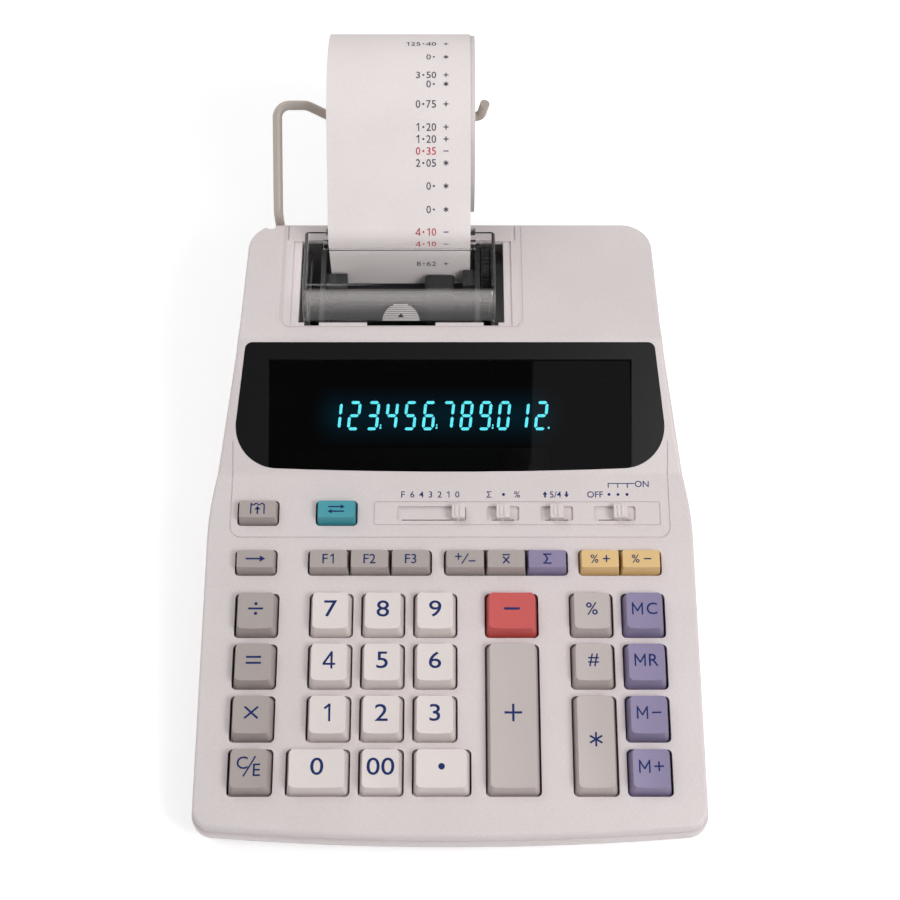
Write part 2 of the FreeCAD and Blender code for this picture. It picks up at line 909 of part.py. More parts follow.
def top_cuts():
    """Openings in the flat top: the printer well, the paper slit and the surround line."""
    half = S.well_width / 2
    left = S.well_x - half
    right = S.well_x + half
    high = S.top_level + REACH
    low = S.top_level - S.wall * 2
    edge = S.well_front + S.tongue_length
    well = box("well_room", [left, back(edge), low], [right, back(S.well_back), high])
    notches = [
        (left + S.corner_width, left + S.tongue_inset),
        (left + S.tongue_inset + S.tongue_width, right - S.tongue_inset - S.tongue_width),
        (right - S.tongue_inset, right - S.corner_width),
    ]
    cuts = [
        box(f"well_notch_{i}", [near, back(S.well_front), low], [far, back(edge + OVERCUT), high])
        for i, (near, far) in enumerate(notches)
    ]
    cuts.append(
        box(
            "well_sill",
            [left - S.well_step, back(S.well_front), S.top_level - S.well_step_depth],
            [right + S.well_step, back(S.well_back), high],
        )
    )
    well = fuse("well", [well] + cuts)
    slit = box(
        "paper_slit",
        [S.paper_x - S.paper_width / 2 - S.slit_room, back(S.tape_rear - S.slit_room), low],
        [S.paper_x + S.paper_width / 2 + S.slit_room, back(S.back_face - S.wall), high],
    )
    width = S.well_width + S.surround_side * 2
    length = S.back_face - S.well_front + S.surround_lead + S.panel_corner * 2
    line = ring("surround_line", width, length, S.panel_corner, S.groove_depth, S.surround_groove)
    place(line, S.well_x, back(S.well_front - S.surround_lead + length / 2), S.top_level)
    notch_low = S.top_level - S.wire_notch_depth
    notch = rod(
        "wire_notch",
        S.wire_notch,
        (wire_x - S.wire_notch_side, back(S.back_face), notch_low),
        REACH,
        "z",
    )
    socket = rod(
        "wire_socket",
        S.wire_radius + S.running_gap,
        (wire_x, wire_plug_y - S.wire_gap, wire_low),
        REACH,
        "y",
    )
    return [well, slit, line, notch, socket] + bridge_lines()


def bridge_lines():
    """Thin lines down the two ends of the bridge behind the well."""
    items = []
    for side, name in ((-1, "left"), (1, "right")):
        x = S.paper_x + S.bridge_half * side
        items.append(
            box(
                f"{name}_bridge_line",
                [x, back(S.back_face - S.bridge_length), S.top_level - S.bridge_line],
                [x + S.bridge_line, back(S.back_face + OVERCUT), S.top_level + OVERCUT],
            )
        )
    return items


wire_x = S.paper_x - S.paper_width / 2 - S.wire_side
wire_y = back(S.back_face + S.wire_radius + S.wire_behind)
wire_low = S.top_level - S.wire_drop
wire_plug_y = back(S.back_face - S.wire_plug)


def screw_points():
    """Where the four case screws stand."""
    front = S.deck_half - S.screw_side
    rear = S.back_half - S.screw_rear_side
    for x, y in ((front, S.screw_front), (rear, S.back_face - S.screw_back)):
        yield -x, y
        yield x, y


def upper_case():
    shell = cut("upper_shell", outer_case, [inner_case])
    opening = window_block("window_hole", S.window_gap, -(S.window_thick * 2), S.wall)
    on_window(opening, 0, 0)
    tools = deck_cuts() + top_cuts()
    adds = []
    for i, (x, y) in enumerate(screw_points()):
        adds.append(
            common(
                f"boss_{i}_fit",
                rod(f"boss_{i}", S.boss_radius, (x, back(y), S.parting), S.top_level, "z"),
                outer_case,
            )
        )
        tools.append(
            rod(
                f"pilot_{i}",
                S.screw_radius + S.screw_slack,
                (x, back(y), 0),
                S.parting + S.screw_bite + S.pilot_over,
                "z",
            )
        )
    for i, (u, v) in enumerate(deck_posts()):
        post = rod(f"deck_post_{i}", S.deck_post / 2, (0, 0, 0), -(S.board_top + S.wall / 2), "z")
        adds.append(on_deck(post, u, v, S.board_top))
    adds += well_walls()
    boss = rod(
        "socket_boss", S.wire_radius + S.wall, (wire_x, wire_plug_y - S.wall, wire_low), REACH, "y"
    )
    adds.append(common("socket_boss_fit", boss, outer_case))
    body = fuse("upper_body", [shell] + adds)
    body = cut("upper_open", body, [opening])
    return finish("upper_case", cut("upper_cut", body, tools))


def deck_posts():
    """Posts from the deck down to the key board, in the lanes between the columns."""
    lanes = [
        (S.column_left + S.column_seven) / 2,
        (S.column_nine + S.column_plus) / 2 - S.plus_extra / 4,
        (S.column_plus + S.column_percent) / 2 + S.plus_extra / 4,
    ]
    for u in lanes:
        for v in (ROWS[1] + S.hole_length / 2, ROWS[3]):
            yield u, v


def well_walls():
    """Skirts below the well's sides, with ledges that carry the clear cover."""
    items = []
    top = S.top_level - S.wall / 2
    low = S.top_level - S.wall - S.well_skirt
    for side, name in ((-1, "left"), (1, "right")):
        edge = S.well_x + S.well_width / 2 * side
        skirt = [edge, edge + S.wall * side]
        ledge = [edge - S.ledge_width * side, edge + S.wall * side]
        for pair, tag, level in (
            (skirt, "skirt", [low, top]),
            (ledge, "ledge", [low, low + S.ledge_thick]),
        ):
            pair = sorted(pair, key=float)
            items.append(
                box(
                    f"{name}_{tag}",
                    [pair[0], back(S.well_front), level[0]],
                    [pair[1], back(S.well_back), level[1]],
                )
            )
    return items


def lower_case():
    """The tray: a rim that stands proud all round, over a tub that is set in."""
    rim_low = S.parting - S.rim_face
    tub = plan_block("tub", S.tub_inset, S.foot_height, S.parting - S.wall)
    base = S.foot_height.number

    def at_base(edge):
        return edge.BoundBox.ZMax < base + TOUCH

    tub = edged("tub_outer", tub, S.base_chamfer, at_base, "Part::Chamfer")
    band = plan_block("band", -S.rim_step, rim_low, S.parting)
    rim = S.parting.number

    def at_rim(edge):
        return edge.BoundBox.ZMin > rim - TOUCH

    band = edged("band_rim", band, S.rim_round, at_rim)
    shaped = fuse("tray_outer", [tub, band])
    hollow = plan_block("hollow", S.tub_inset + S.wall, S.floor_level, rim_low + S.wall)
    mouth = plan_block("mouth", S.wall, rim_low + S.wall, S.top_level)
    tray = cut("tray_shell", shaped, [hollow, mouth])
    adds = []
    tools = []
    stand_radius = S.boss_radius + S.stand_over
    stand_height = S.parting - S.foot_height
    hole_radius = S.screw_radius + S.head_slack
    for i, (x, y) in enumerate(screw_points()):
        adds.append(rod(f"stand_{i}", stand_radius, (x, back(y), S.foot_height), stand_height, "z"))
        tools.append(rod(f"through_{i}", hole_radius, (x, back(y), 0), S.top_level, "z"))
        tools.append(
            rod(
                f"sink_{i}",
                S.head_radius + S.head_slack,
                (x, back(y), 0),
                S.foot_height + S.screw_seat,
                "z",
            )
        )
    post_low = S.floor_level - S.post_sink
    for name, points, lift in (
        ("board_post", board_points(), S.board_lift),
        ("frame_post", frame_points(), S.frame_base),
    ):
        for i, (x, y) in enumerate(points):
            start = (x, back(y), post_low)
            adds.append(rod(f"{name}_{i}", S.board_post / 2, start, lift + S.post_sink, "z"))
    inlet_z = (S.floor_level + S.parting) / 2
    inlet_start = S.back_face - S.tub_inset - S.wall
    inlet_run = S.tub_inset + S.wall + S.rim_step + S.inlet_length
    collar = S.inlet_radius + S.inlet_wall
    adds.append(rod("inlet_collar", collar, (S.inlet_x, back(inlet_start), inlet_z), inlet_run, "y"))
    bore_start = back(inlet_start - S.wall)
    bore_run = inlet_run + S.wall * 2
    tools.append(rod("inlet_bore", S.inlet_radius, (S.inlet_x, bore_start, inlet_z), bore_run, "y"))
    body = fuse("tray_body", [tray] + adds)
    return finish("lower_case", cut("tray_cut", body, tools))


def board_points():
    """Four posts under the main board."""
    x = S.deck_half - S.board_side
    y = S.slope_start + S.board_edge
    for across in (S.board_edge, S.main_width - S.board_edge):
        for along in (S.board_edge, S.main_depth - S.board_edge):
            yield across - x, y + along


def frame_points():
    """Four posts under the printer's frame."""
    for x in (-S.plate_place, S.plate_place):
        for y in (frame_front() + S.board_post, S.tape_rear - S.board_post):
            yield S.paper_x + x, y


def frame_front():
    return S.well_front + S.frame_front


def key_cap(label, width, length):
    """A tapered cap with rounded corners and a hollow top."""
    base_width = width - S.key_clearance * 2
    base_length = length - S.key_clearance * 2
    cap = doc.addObject("Part::Wedge", label + "_wedge")
    top_width = base_width - S.key_taper * 2
    bind(
        cap,
        Xmin=base_width / -2,
        Xmax=base_width / 2,
        X2min=top_width / -2,
        X2max=top_width / 2,
        Zmin=base_length / -2,
        Zmax=base_length / 2,
        Z2min=base_length / -2 + S.key_back,
        Z2max=base_length / 2 - S.key_front,
        Ymin=S.flange_top,
        Ymax=S.key_height,
    )
    place(cap, angle=90)
    rounded = edged(label + "_rounded", cap, S.key_corner, rising)
    radius = top_width * top_width / (S.key_dish * 8) + S.key_dish / 2
    start = (0, length / -1, S.key_height - S.key_dish + radius)
    dish = rod(label + "_dish", radius, start, length * 2, "y")
    return cut(label + "_cap", rounded, [dish])


def small_cap(label, width, length):
    """A short cap with a flat top and a long front slope."""
    base_width = width - S.key_clearance * 2
    base_length = length - S.key_clearance * 2
    cap = doc.addObject("Part::Wedge", label + "_wedge")
    top_width = base_width - S.small_back * 2
    bind(
        cap,
        Xmin=base_width / -2,
        Xmax=base_width / 2,
        X2min=top_width / -2,
        X2max=top_width / 2,
        Zmin=base_length / -2,
        Zmax=base_length / 2,
        Z2min=base_length / -2 + S.small_back,
        Z2max=base_length / 2 - S.small_front,
        Ymin=S.flange_top,
        Ymax=S.small_height,
    )
    place(cap, angle=90)
    return edged(label + "_rounded", cap, S.small_corner, rising)


def key(spec, maker):
    label = spec["label"]
    width = spec["width"]
    length = spec["length"]
    cap = maker(label, width, length)
    flange = block(
        label + "_flange",
        width - S.key_clearance * 2,
        length + S.flange_lip * 2,
        S.stem_top,
        S.flange_top,
    )
    stem = block(label + "_stem", S.stem_size, S.stem_size, S.stem_bottom, S.stem_top)
    whole = fuse(label, [cap, flange, stem])
    on_deck(whole, spec["u"], spec["v"])
    return finish(label, whole)


def knob(name, start, length, rest):
    """A ribbed slider cap, with its stem through the slit and a plate below the deck."""
    width = S.slot_width - S.knob_gap * 2
    cap = block(name + "_knob_cap", S.knob_length, width, -(S.slot_depth - S.knob_gap), S.knob_rise)
    cap = edged(name + "_knob_round", cap, S.knob_gap, rising)
    half = S.stem_width / 2
    near = S.slit_gap - S.slot_width / 2
    stem = box(
        name + "_knob_stem",
        [-half, near, -(S.wall + S.knob_gap)],
        [half, near + S.slit_width - S.slit_gap * 2, 0],
    )
    foot = block(
        name + "_knob_foot",
        S.knob_length,
        width,
        -(S.wall + S.knob_gap + S.flange_thick),
        -(S.wall + S.knob_gap),
    )
    whole = fuse(name + "_knob", [cap, stem, foot])
    on_deck(whole, S.plate_left + start + rest, S.plate_v)
    return finish(name + "_knob", whole)


def key_board():
    """The board that every key works, under the deck."""
    half = S.grid_width / 2 + S.hole_width / 2 + S.board_edge / 2
    low = S.first_row - S.board_front
    high = S.row_a + S.small_length + S.board_edge
    board = rounded_block("key_board", half * 2, high - low, -S.board_thick, 0, S.hole_corner)
    on_deck(board, 0, (low + high) / 2, S.board_top)
    return finish("key_board", board)


def dome_mat():
    """One rubber sheet with a dome under each key."""
    half = S.grid_width / 2 + S.hole_width / 2
    low = S.first_row - S.board_front / 2
    high = S.row_a + S.small_length + S.board_edge / 2
    sheet_body = rounded_block("mat_sheet", half * 2, high - low, 0, S.mat_thick, S.hole_corner)
    on_deck(sheet_body, 0, (low + high) / 2, S.board_top)
    domes = []
    for spec in KEYS:
        dome = doc.addObject("Part::Cone", spec["label"] + "_dome")
        bind(dome, Radius1=S.dome_base, Radius2=S.dome_tip, Height=S.dome_height + S.mat_thick / 2)
        domes.append(on_deck(dome, spec["u"], spec["v"], S.mat_top - S.mat_thick / 2))
    holes = []
    for i, (u, v) in enumerate(deck_posts()):
        hole = rod(f"mat_hole_{i}", S.deck_post / 2 + S.knob_gap, (0, 0, 0), S.dome_height * 2, "z")
        holes.append(on_deck(hole, u, v, S.board_top - S.mat_thick / 2))
    body = fuse("mat_body", [sheet_body] + domes)
    return finish("dome_mat", cut("mat_cut", body, holes))


def display_tube():
    """The flat glass display tube behind the lens."""
    middle = S.window_length / 2 - S.window_head
    rise = -(S.window_thick + S.tube_gap)
    tube = rounded_block(
        "tube_glass", S.tube_width, S.tube_length, -S.tube_thick, 0, S.window_top_corner
    )
    on_window(tube, 0, middle, rise)
    return finish("display_tube", tube)


def main_board():
    """The main circuit board, on posts of the base."""
    x = S.deck_half - S.board_side
    y = S.slope_start + S.board_edge
    z = S.floor_level + S.board_lift
    board = box(
        "main_plain",
        [-x, back(y), z],
        [S.main_width - x, back(y + S.main_depth), z + S.board_thick],
    )
    return finish("main_board", board)


def transformer():
    """A laminated core with its winding, standing on the base."""
    x = S.deck_half - S.core_side - S.core_width
    y = S.slope_start + S.board_edge
    core = box(
        "core",
        [x, back(y), S.floor_level],
        [x + S.core_width, back(y + S.core_depth), S.floor_level + S.core_height],
    )
    over = S.coil_over
    coil_high = S.floor_level + S.core_height - over
    coil = box(
        "coil",
        [x + over, back(y - over), S.floor_level + over],
        [x + S.core_width - over, back(y + S.core_depth + over), coil_high],
    )
    return finish("transformer", fuse("transformer_body", [core, coil]))


def cover_profile(name, inset, width):
    """The cover from the side: a raked front and a flat top."""
    front = S.well_front + S.cover_gap
    low = S.top_level - S.wall - S.well_skirt + S.ledge_thick + S.paper_gap
    top = S.top_level + S.cover_rise
    far = S.tape_front + S.cover_back
    points = [
        (back(front + inset), low - inset),
        (back(far), low - inset),
        (back(far), top - inset),
        (back(front + S.cover_rake + inset), top - inset),
        (back(front + inset), S.top_level - inset),
    ]
    sketch = outline(name + "_sketch", points, SIDE_TURN)
    item = extruded(name, sketch, width, True)
    return place(item, S.paper_x)


def printer_cover():
    """A clear cap whose slot has a saw edge that tears the paper."""
    outer = cover_profile("cover_outer", Size.of(0), S.cover_width)
    inner = cover_profile("cover_inner", S.cover_wall, S.cover_width - S.cover_wall * 2)
    ridge_y = back(S.well_front + S.cover_gap + S.cover_rake)
    deck_level = float(S.top_level)

    def ridge(inset):
        place_y = float(ridge_y + inset)
        return lambda edge: along_x(edge) and abs(edge.CenterOfMass.y - place_y) < TOUCH

    def side_rim(edge):
        return not along_x(edge) and edge.BoundBox.ZMin > deck_level - TOUCH

    outer = edged("cover_ridge", outer, S.cover_round, ridge(0))
    outer = edged("cover_sides", outer, S.cover_side_round, side_rim)
    inner = edged("cover_hollow", inner, S.cover_round - S.cover_wall, ridge(S.cover_wall))
    half = S.paper_width / 2 + S.slit_room
    tear_root = back(S.tape_front - S.paper_thick / 2 - S.tear_gap - S.tear_tooth)
    slot = box(
        "exit_slot",
        [S.paper_x - half, tear_root, S.top_level],
        [S.paper_x + half, back(S.tape_front + S.exit_room), S.top_level + REACH],
    )
    shell = cut("cover_shell", outer, [inner, slot])
    whole = fuse("cover_whole", [shell, tear_edge()])
    return finish("printer_cover", whole)


def tear_edge():
    """A row of saw teeth along the front of the exit slot."""
    half = (S.paper_width / 2 + S.slit_room).number
    pitch = S.tear_pitch.number
    tip = back(S.tape_front - S.paper_thick / 2 - S.tear_gap).number
    root = tip - S.tear_tooth.number
    count = int(2 * half / pitch)
    start = S.paper_x.number - count * pitch / 2
    top = (S.top_level + S.cover_rise).number
    behind = root - S.tear_tooth.number
    points = [Vector(start, behind, top)]
    for i in range(count):
        points.append(Vector(start + i * pitch, root, top))
        points.append(Vector(start + (i + 0.5) * pitch, tip, top))
    points.append(Vector(start + count * pitch, root, top))
    points.append(Vector(start + count * pitch, behind, top))
    points.append(points[0])
    face = Part.Face(Part.makePolygon(points))
    item = doc.addObject("Part::Feature", "tear_teeth")
    item.Shape = face.extrude(Vector(0, 0, -S.cover_wall.number / 2))
    item.Placement = Placement()
    return item


def involute(radius, angle):
    """A point of the involute of a circle."""
    x = radius * (math.cos(angle) + angle * math.sin(angle))
    y = radius * (math.sin(angle) - angle * math.cos(angle))
    return math.hypot(x, y), math.atan2(y, x)


PRESSURE = math.radians(20)
STUB = 0.8
DEDENDUM = 1.25
FLANK_STEPS = 4


def gear_shape(teeth, module, width, slack, phase):
    """A spur gear on the X axis, with involute flanks thinned by the slack."""
    pitch_radius = module * teeth / 2
    base = pitch_radius * math.cos(PRESSURE)
    tip = pitch_radius + module * STUB
    root = pitch_radius - module * DEDENDUM * STUB
    low = max(base, root)
    roll_tip = math.sqrt((tip / base) ** 2 - 1)
    roll_low = math.sqrt(max((low / base) ** 2 - 1, 0))
    at_pitch = involute(base, math.tan(PRESSURE))[1]
    half = math.pi / (2 * teeth) - slack / pitch_radius
    flank = []
    for i in range(FLANK_STEPS + 1):
        roll = roll_low + (roll_tip - roll_low) * i / FLANK_STEPS
        radius, turn = involute(base, roll)
        flank.append((radius, half + at_pitch - turn))
    if root < low:
        flank.insert(0, (root, flank[0][1]))
    points = []
    for i in range(teeth):
        middle = 2 * math.pi * i / teeth + phase
        sides = [(r, middle - a) for r, a in flank] + [(r, middle + a) for r, a in reversed(flank)]
        points += [Vector(0, r * math.cos(a), r * math.sin(a)) for r, a in sides]
    points.append(points[0])
    return Part.Face(Part.makePolygon(points)).extrude(Vector(width, 0, 0))


def gear(name, teeth, x, y, z, phase):
    item = doc.addObject("Part::Feature", name)
    item.Shape = gear_shape(
        int(teeth.number), S.gear_module.number, S.gear_width.number, S.gear_slack.number / 2, phase
    )
    return place(item, x, y, z)


def gear_x():
    return S.paper_x + S.plate_place + S.plate_thick + S.gear_gap


def platen_roller():
    """The rubber roller on its shaft, with the gear that turns it."""
    y = back(S.platen_y)
    z = S.platen_z
    start = S.paper_x - S.platen_length / 2
    tube = rod("platen_tube", S.platen_radius, (start, y, z), S.platen_length, "x")
    shaft_start = S.paper_x - S.plate_place - S.plate_thick - S.gear_gap
    shaft_end = gear_x() + S.gear_width
    shaft = rod("platen_shaft", S.shaft_radius, (shaft_start, y, z), shaft_end - shaft_start, "x")
    phase = math.pi + math.radians(S.gear_angle.number)
    wheel = gear("platen_gear", S.gear_teeth, gear_x(), y, z, phase)
    return finish("platen_roller", fuse("platen_whole", [tube, shaft, wheel]))


def pinion_y():
    return back(S.platen_y - S.gear_centres * cos(S.gear_angle))


def pinion_z():
    return S.platen_z - S.gear_centres * sin(S.gear_angle)


def motor_plate_x():
    return gear_x() + S.gear_width + S.gear_gap


def motor_pinion():
    """The motor's small gear on its shaft, in mesh with the platen's."""
    phase = math.radians(S.gear_angle.number) + math.pi / S.pinion_teeth.number
    wheel = gear("pinion_gear", S.pinion_teeth, gear_x(), pinion_y(), pinion_z(), phase)
    length = S.gear_width + S.gear_gap + S.plate_thick + S.motor_boss
    shaft = rod("pinion_shaft", S.shaft_radius / 2, (gear_x(), pinion_y(), pinion_z()), length, "x")
    return finish("motor_pinion", fuse("pinion_whole", [wheel, shaft]))


def printer_motor():
    """A small motor, flat against its plate, bored for the pinion's shaft."""
    start = motor_plate_x() + S.plate_thick
    can = rod("motor_can", S.motor_radius, (start, pinion_y(), pinion_z()), S.motor_length, "x")
    can = edged("motor_round", can, S.motor_round, lambda e: isinstance(e.Curve, Part.Circle))
    bore = rod(
        "motor_bore",
        S.shaft_radius / 2 + S.running_gap,
        (motor_plate_x(), pinion_y(), pinion_z()),
        S.plate_thick + S.motor_boss + OVERCUT,
        "x",
    )
    return finish("printer_motor", cut("motor_cut", can, [bore]))


def carriage_x():
    return S.paper_x + S.paper_width / 2 - S.carriage_inset


def ink_x():
    return S.paper_x - S.plate_place


def ink_place():
    return back(S.tape_front - S.ink_lead), S.top_level - S.ink_drop


def printer_frame():
    """Base, side plates, motor plate, carriage rod and the ink roller's pin."""
    front = back(frame_front())
    rear = back(S.tape_rear - S.paper_gap - S.paper_thick)
    low = S.frame_low
    high = S.top_level - S.plate_top
    left = S.paper_x - S.plate_place - S.plate_thick
    right = S.paper_x + S.plate_place + S.plate_thick
    motor_x = motor_plate_x()
    items = [
        box("frame_floor", [left, front, low], [motor_x + S.plate_thick, rear, low + S.plate_thick]),
        box("left_plate", [left, front, low], [left + S.plate_thick, rear, high]),
        box("right_plate", [right - S.plate_thick, front, low], [right, rear, high]),
        box(
            "motor_plate",
            [motor_x, front, low],
            [motor_x + S.plate_thick, rear, pinion_z() + S.motor_radius],
        ),
        rod("carriage_rod", S.shaft_radius, (left, back(S.rod_y), S.rod_z), right - left, "x"),
    ]
    guide_rear = back(S.tape_front - S.guide_gap)
    guide_low = S.rod_z + S.guide_low
    for name, near, far, height in (
        ("left_guide", left, left + S.plate_thick + S.guide_left, S.guide_left_height),
        ("right_guide", right - S.plate_thick - S.guide_right, right, S.guide_right_height),
    ):
        items.append(
            box(
                name,
                [near, guide_rear - S.guide_length, guide_low],
                [far, guide_rear, guide_low + height],
            )
        )
    bar_rear = back(S.tape_front - S.paper_thick / 2 - S.bar_gap)
    items.append(
        box(
            "paper_bar",
            [left, bar_rear - S.bar_thick, S.rod_z - S.bar_low],
            [right, bar_rear, S.rod_z + S.bar_rise],
        )
    )
    ink_y, ink_z = ink_place()
    items.append(rod("ink_pin", S.pin_radius, (ink_x(), ink_y, ink_z), S.ink_length + S.plate_thick, "x"))
    bearing = rod(
        "platen_bearing",
        S.shaft_radius + S.running_gap,
        (left - S.wall, back(S.platen_y), S.platen_z),
        right - left + S.wall * 2,
        "x",
    )
    hole = rod(
        "pinion_hole",
        S.shaft_radius / 2 + S.knob_gap,
        (motor_x - S.wall, pinion_y(), pinion_z()),
        S.plate_thick + S.wall * 2,
        "x",
    )
    body = fuse("frame_body", items)
    return finish("printer_frame", cut("frame_cut", body, [bearing, hole]))


def print_carriage():
    """The print head's block, sliding on the carriage rod."""
    half = S.carriage_length / 2
    x = carriage_x() - S.carriage_width / 2
    low = S.rod_z - S.carriage_height / 2
    body = box(
        "carriage_block",
        [x, back(S.rod_y - half), low],
        [x + S.carriage_width, back(S.rod_y + half), low + S.carriage_height],
    )
    high = float(low + S.carriage_height)

    def at_shoulders(edge):
        return edge.BoundBox.ZMin > high - TOUCH and not along_x(edge)

    body = edged("carriage_round", body, S.carriage_round, at_shoulders)
    bore = rod(
        "carriage_bore",
        S.shaft_radius + S.running_gap,
        (x - S.wall, back(S.rod_y), S.rod_z),
        S.carriage_width + S.wall * 2,
        "x",
    )
    return finish("print_carriage", cut("carriage_cut", body, [bore]))


def ink_roller():
    """The felt ink roller on its pin."""
    y, z = ink_place()
    x = ink_x() + S.knob_gap
    felt = rod("ink_felt", S.ink_radius, (x, y, z), S.ink_length, "x")
    bore = rod("ink_bore", S.pin_radius + S.running_gap, (x - S.wall, y, z), S.ink_length + S.wall * 2, "x")
    return finish("ink_roller", cut("ink_cut", felt, [bore]))


def paper_roll():
    """The wound roll of paper, hollow round its core."""
    start = S.roll_x - S.paper_width / 2
    y = back(S.roll_y)
    wound = rod("roll_wound", S.roll_radius, (start, y, S.roll_z), S.paper_width, "x")
    core = rod("roll_core", S.core_radius, (start - S.wall, y, S.roll_z), S.paper_width + S.wall * 2, "x")
    return finish("paper_roll", cut("roll_cut", wound, [core]))


def arc(centre, radius, start, end):
    """An arc in the side plane, between two angles in degrees."""
    points = []
    for angle in (start, (start + end) / 2, end):
        turn = math.radians(angle)
        points.append(centre + Vector(0, math.cos(turn), math.sin(turn)) * radius)
    return Part.Arc(*points).toShape()


def line(start, end):
    return Part.LineSegment(start, end).toShape()


def tape_side(offset):
    """One face of the paper tape, from the roll's underside to its free end."""
    roll = Vector(0, back(S.roll_y).number, S.roll_z.number)
    platen = Vector(0, back(S.platen_y).number, S.platen_z.number)
    wound = S.roll_radius.number + S.paper_gap.number + S.paper_thick.number / 2
    turn = S.tape_turn.number
    edge = Vector(0, back(S.tape_rear).number + turn, (S.top_level - S.tape_drop).number)
    curl = S.tape_curl.number
    rim = Vector(0, back(S.tape_front).number + curl, (S.top_level + S.cover_rise + S.tape_lift).number)
    feed = roll - edge
    down = math.degrees(math.atan2(feed.z, feed.y) - math.asin((turn + wound) / feed.Length))
    rest = roll - rim
    up = math.degrees(math.atan2(rest.z, rest.y) + math.asin((wound - curl) / rest.Length))
    runs = [
        arc(edge, turn + offset, down + 90, 180),
        arc(platen, S.path_radius.number - offset, 0, -180),
        arc(rim, curl - offset, 180, up + 90),
        arc(roll, wound - offset, up + 90, 90 - S.tape_over.number),
    ]
    normal = math.radians(down - 90)
    last = roll + Vector(0, math.cos(normal), math.sin(normal)) * (wound - offset)
    edges = []
    for run in runs:
        edges.append(line(last, run.firstVertex(True).Point))
        edges.append(run)
        last = run.lastVertex(True).Point
    return edges


def paper_tape():
    """The strip of paper: off the roll, round the platen, out and over the roll."""
    half = S.paper_thick.number / 2
    one = tape_side(half)
    other = tape_side(-half)
    ends = [
        line(one[-1].Vertexes[-1].Point, other[-1].Vertexes[-1].Point),
        line(other[0].Vertexes[0].Point, one[0].Vertexes[0].Point),
    ]
    wire = Part.Wire(Part.__sortEdges__(one + other + ends))
    width = S.paper_width.number
    item = doc.addObject("Part::Feature", "tape")
    item.Shape = Part.Face(wire).extrude(Vector(width, 0, 0))
    place(item, S.paper_x - S.paper_width / 2)
    return finish("paper_tape", item)


def bent(points, radii):
    """A wire through points, with each corner turned on an arc."""
    edges = []
    start = points[0]
    for before, corner, after, radius in zip(points, points[1:], points[2:], radii):
        arrive = (corner - before).normalize()
        leave = (after - corner).normalize()
        turn = arrive.getAngle(leave)
        reach = radius * math.tan(turn / 2)
        enter = corner - arrive * reach
        exit_point = corner + leave * reach
        inward = (leave - arrive).normalize()
        middle = corner + inward * (radius / math.cos(turn / 2) - radius)
        edges.append(line(start, enter))
        edges.append(Part.Arc(enter, middle, exit_point).toShape())
        start = exit_point
    edges.append(line(start, points[-1]))
    return Part.Wire(edges)


def roll_holder():
    """One bent wire: out of the back, up, leaning back, across, down to the roll and through it."""
    x = wire_x.number
    stand = wire_y.number
    axle = back(S.roll_y).number
    level = S.axle_z.number
    high = level + S.wire_rise.number
    flat = x + S.wire_flat.number
    dip = flat + S.wire_dip.number
    end = (S.roll_x + S.paper_width / 2 + S.wire_end).number
    foot = wire_low.number
    start = Vector(x, wire_plug_y.number, foot)
    points = [
        start,
        Vector(x, stand, foot),
        Vector(x, stand, (S.top_level + S.wire_stand).number),
        Vector(x, axle, high),
        Vector(flat, axle, high),
        Vector(dip, axle, level),
        Vector(end, axle, level),
        Vector(end + S.wire_hook_lean.number, axle, level + S.wire_hook.number),
    ]
    bends = [S.wire_plug_bend.number] + [S.wire_bend.number] * 4 + [S.wire_hook_bend.number]
    path = bent(points, bends)
    circle = Part.Circle(start, Vector(0, 1, 0), S.wire_radius.number).toShape()
    pipe = path.makePipeShell([Part.Wire(circle)], True, False)
    item = doc.addObject("Part::Feature", "holder_wire")
    item.Shape = pipe
    item.Placement = Placement()
    return finish("roll_holder", item)


def rubber_feet():
    """Four rubber discs under the base."""
    items = []
    spots = (
        (S.deck_half - S.foot_side, S.foot_front),
        (S.back_half - S.foot_side, S.back_face - S.foot_back),
    )
    for row, (x, y) in enumerate(spots):
        for side in (-1, 1):
            disc = rod(f"foot_{row}_{side + 1}", S.foot_radius, (x * side, back(y), 0), S.foot_height, "z")
            items.append(disc)
    return finish("rubber_feet", group("feet", items))


def case_screws():
    """Four screws from below, through the base into the bosses of the upper case."""
    items = []
    for i, (x, y) in enumerate(screw_points()):
        seat = S.foot_height + S.screw_seat
        head = rod(f"head_{i}", S.head_radius, (x, back(y), seat - S.head_height), S.head_height, "z")
        shank = rod(f"shank_{i}", S.screw_radius, (x, back(y), seat), S.parting + S.screw_bite - seat, "z")
        items.append(fuse(f"screw_{i}", [head, shank]))
    return finish("case_screws", group("screws", items))


upper_case()
lower_case()
display_window()
display_tube()
for spec in KEYS:
    key(spec, key_cap if spec in BIG_KEYS else small_cap)
for name, (start, length, rest) in SWITCHES.items():
    knob(name, start, length, rest)
key_board()
dome_mat()
main_board()
transformer()
printer_cover()
printer_frame()
platen_roller()
motor_pinion()
printer_motor()
print_carriage()
ink_roller()
paper_roll()
paper_tape()
roll_holder()
rubber_feet()
case_screws()
doc.recompute()

for item in doc.Objects:
    if {"Invalid", "Error"} & set(item.State):
        raise RuntimeError(f"{item.Label} failed: {item.State}")
for label, item in PARTS.items():
    shape = item.Shape
    if shape.isNull() or not shape.isValid():
        raise RuntimeError(f"{label} has no valid shape")
os.makedirs("parts", exist_ok=True)
for label, item in PARTS.items():
    item.Shape.exportStep(f"parts/{label}.step")
print(len(PARTS), "parts written")
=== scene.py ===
import json
import math

import bmesh
import bpy
from mathutils import Matrix, Vector
from mathutils.bvhtree import BVHTree

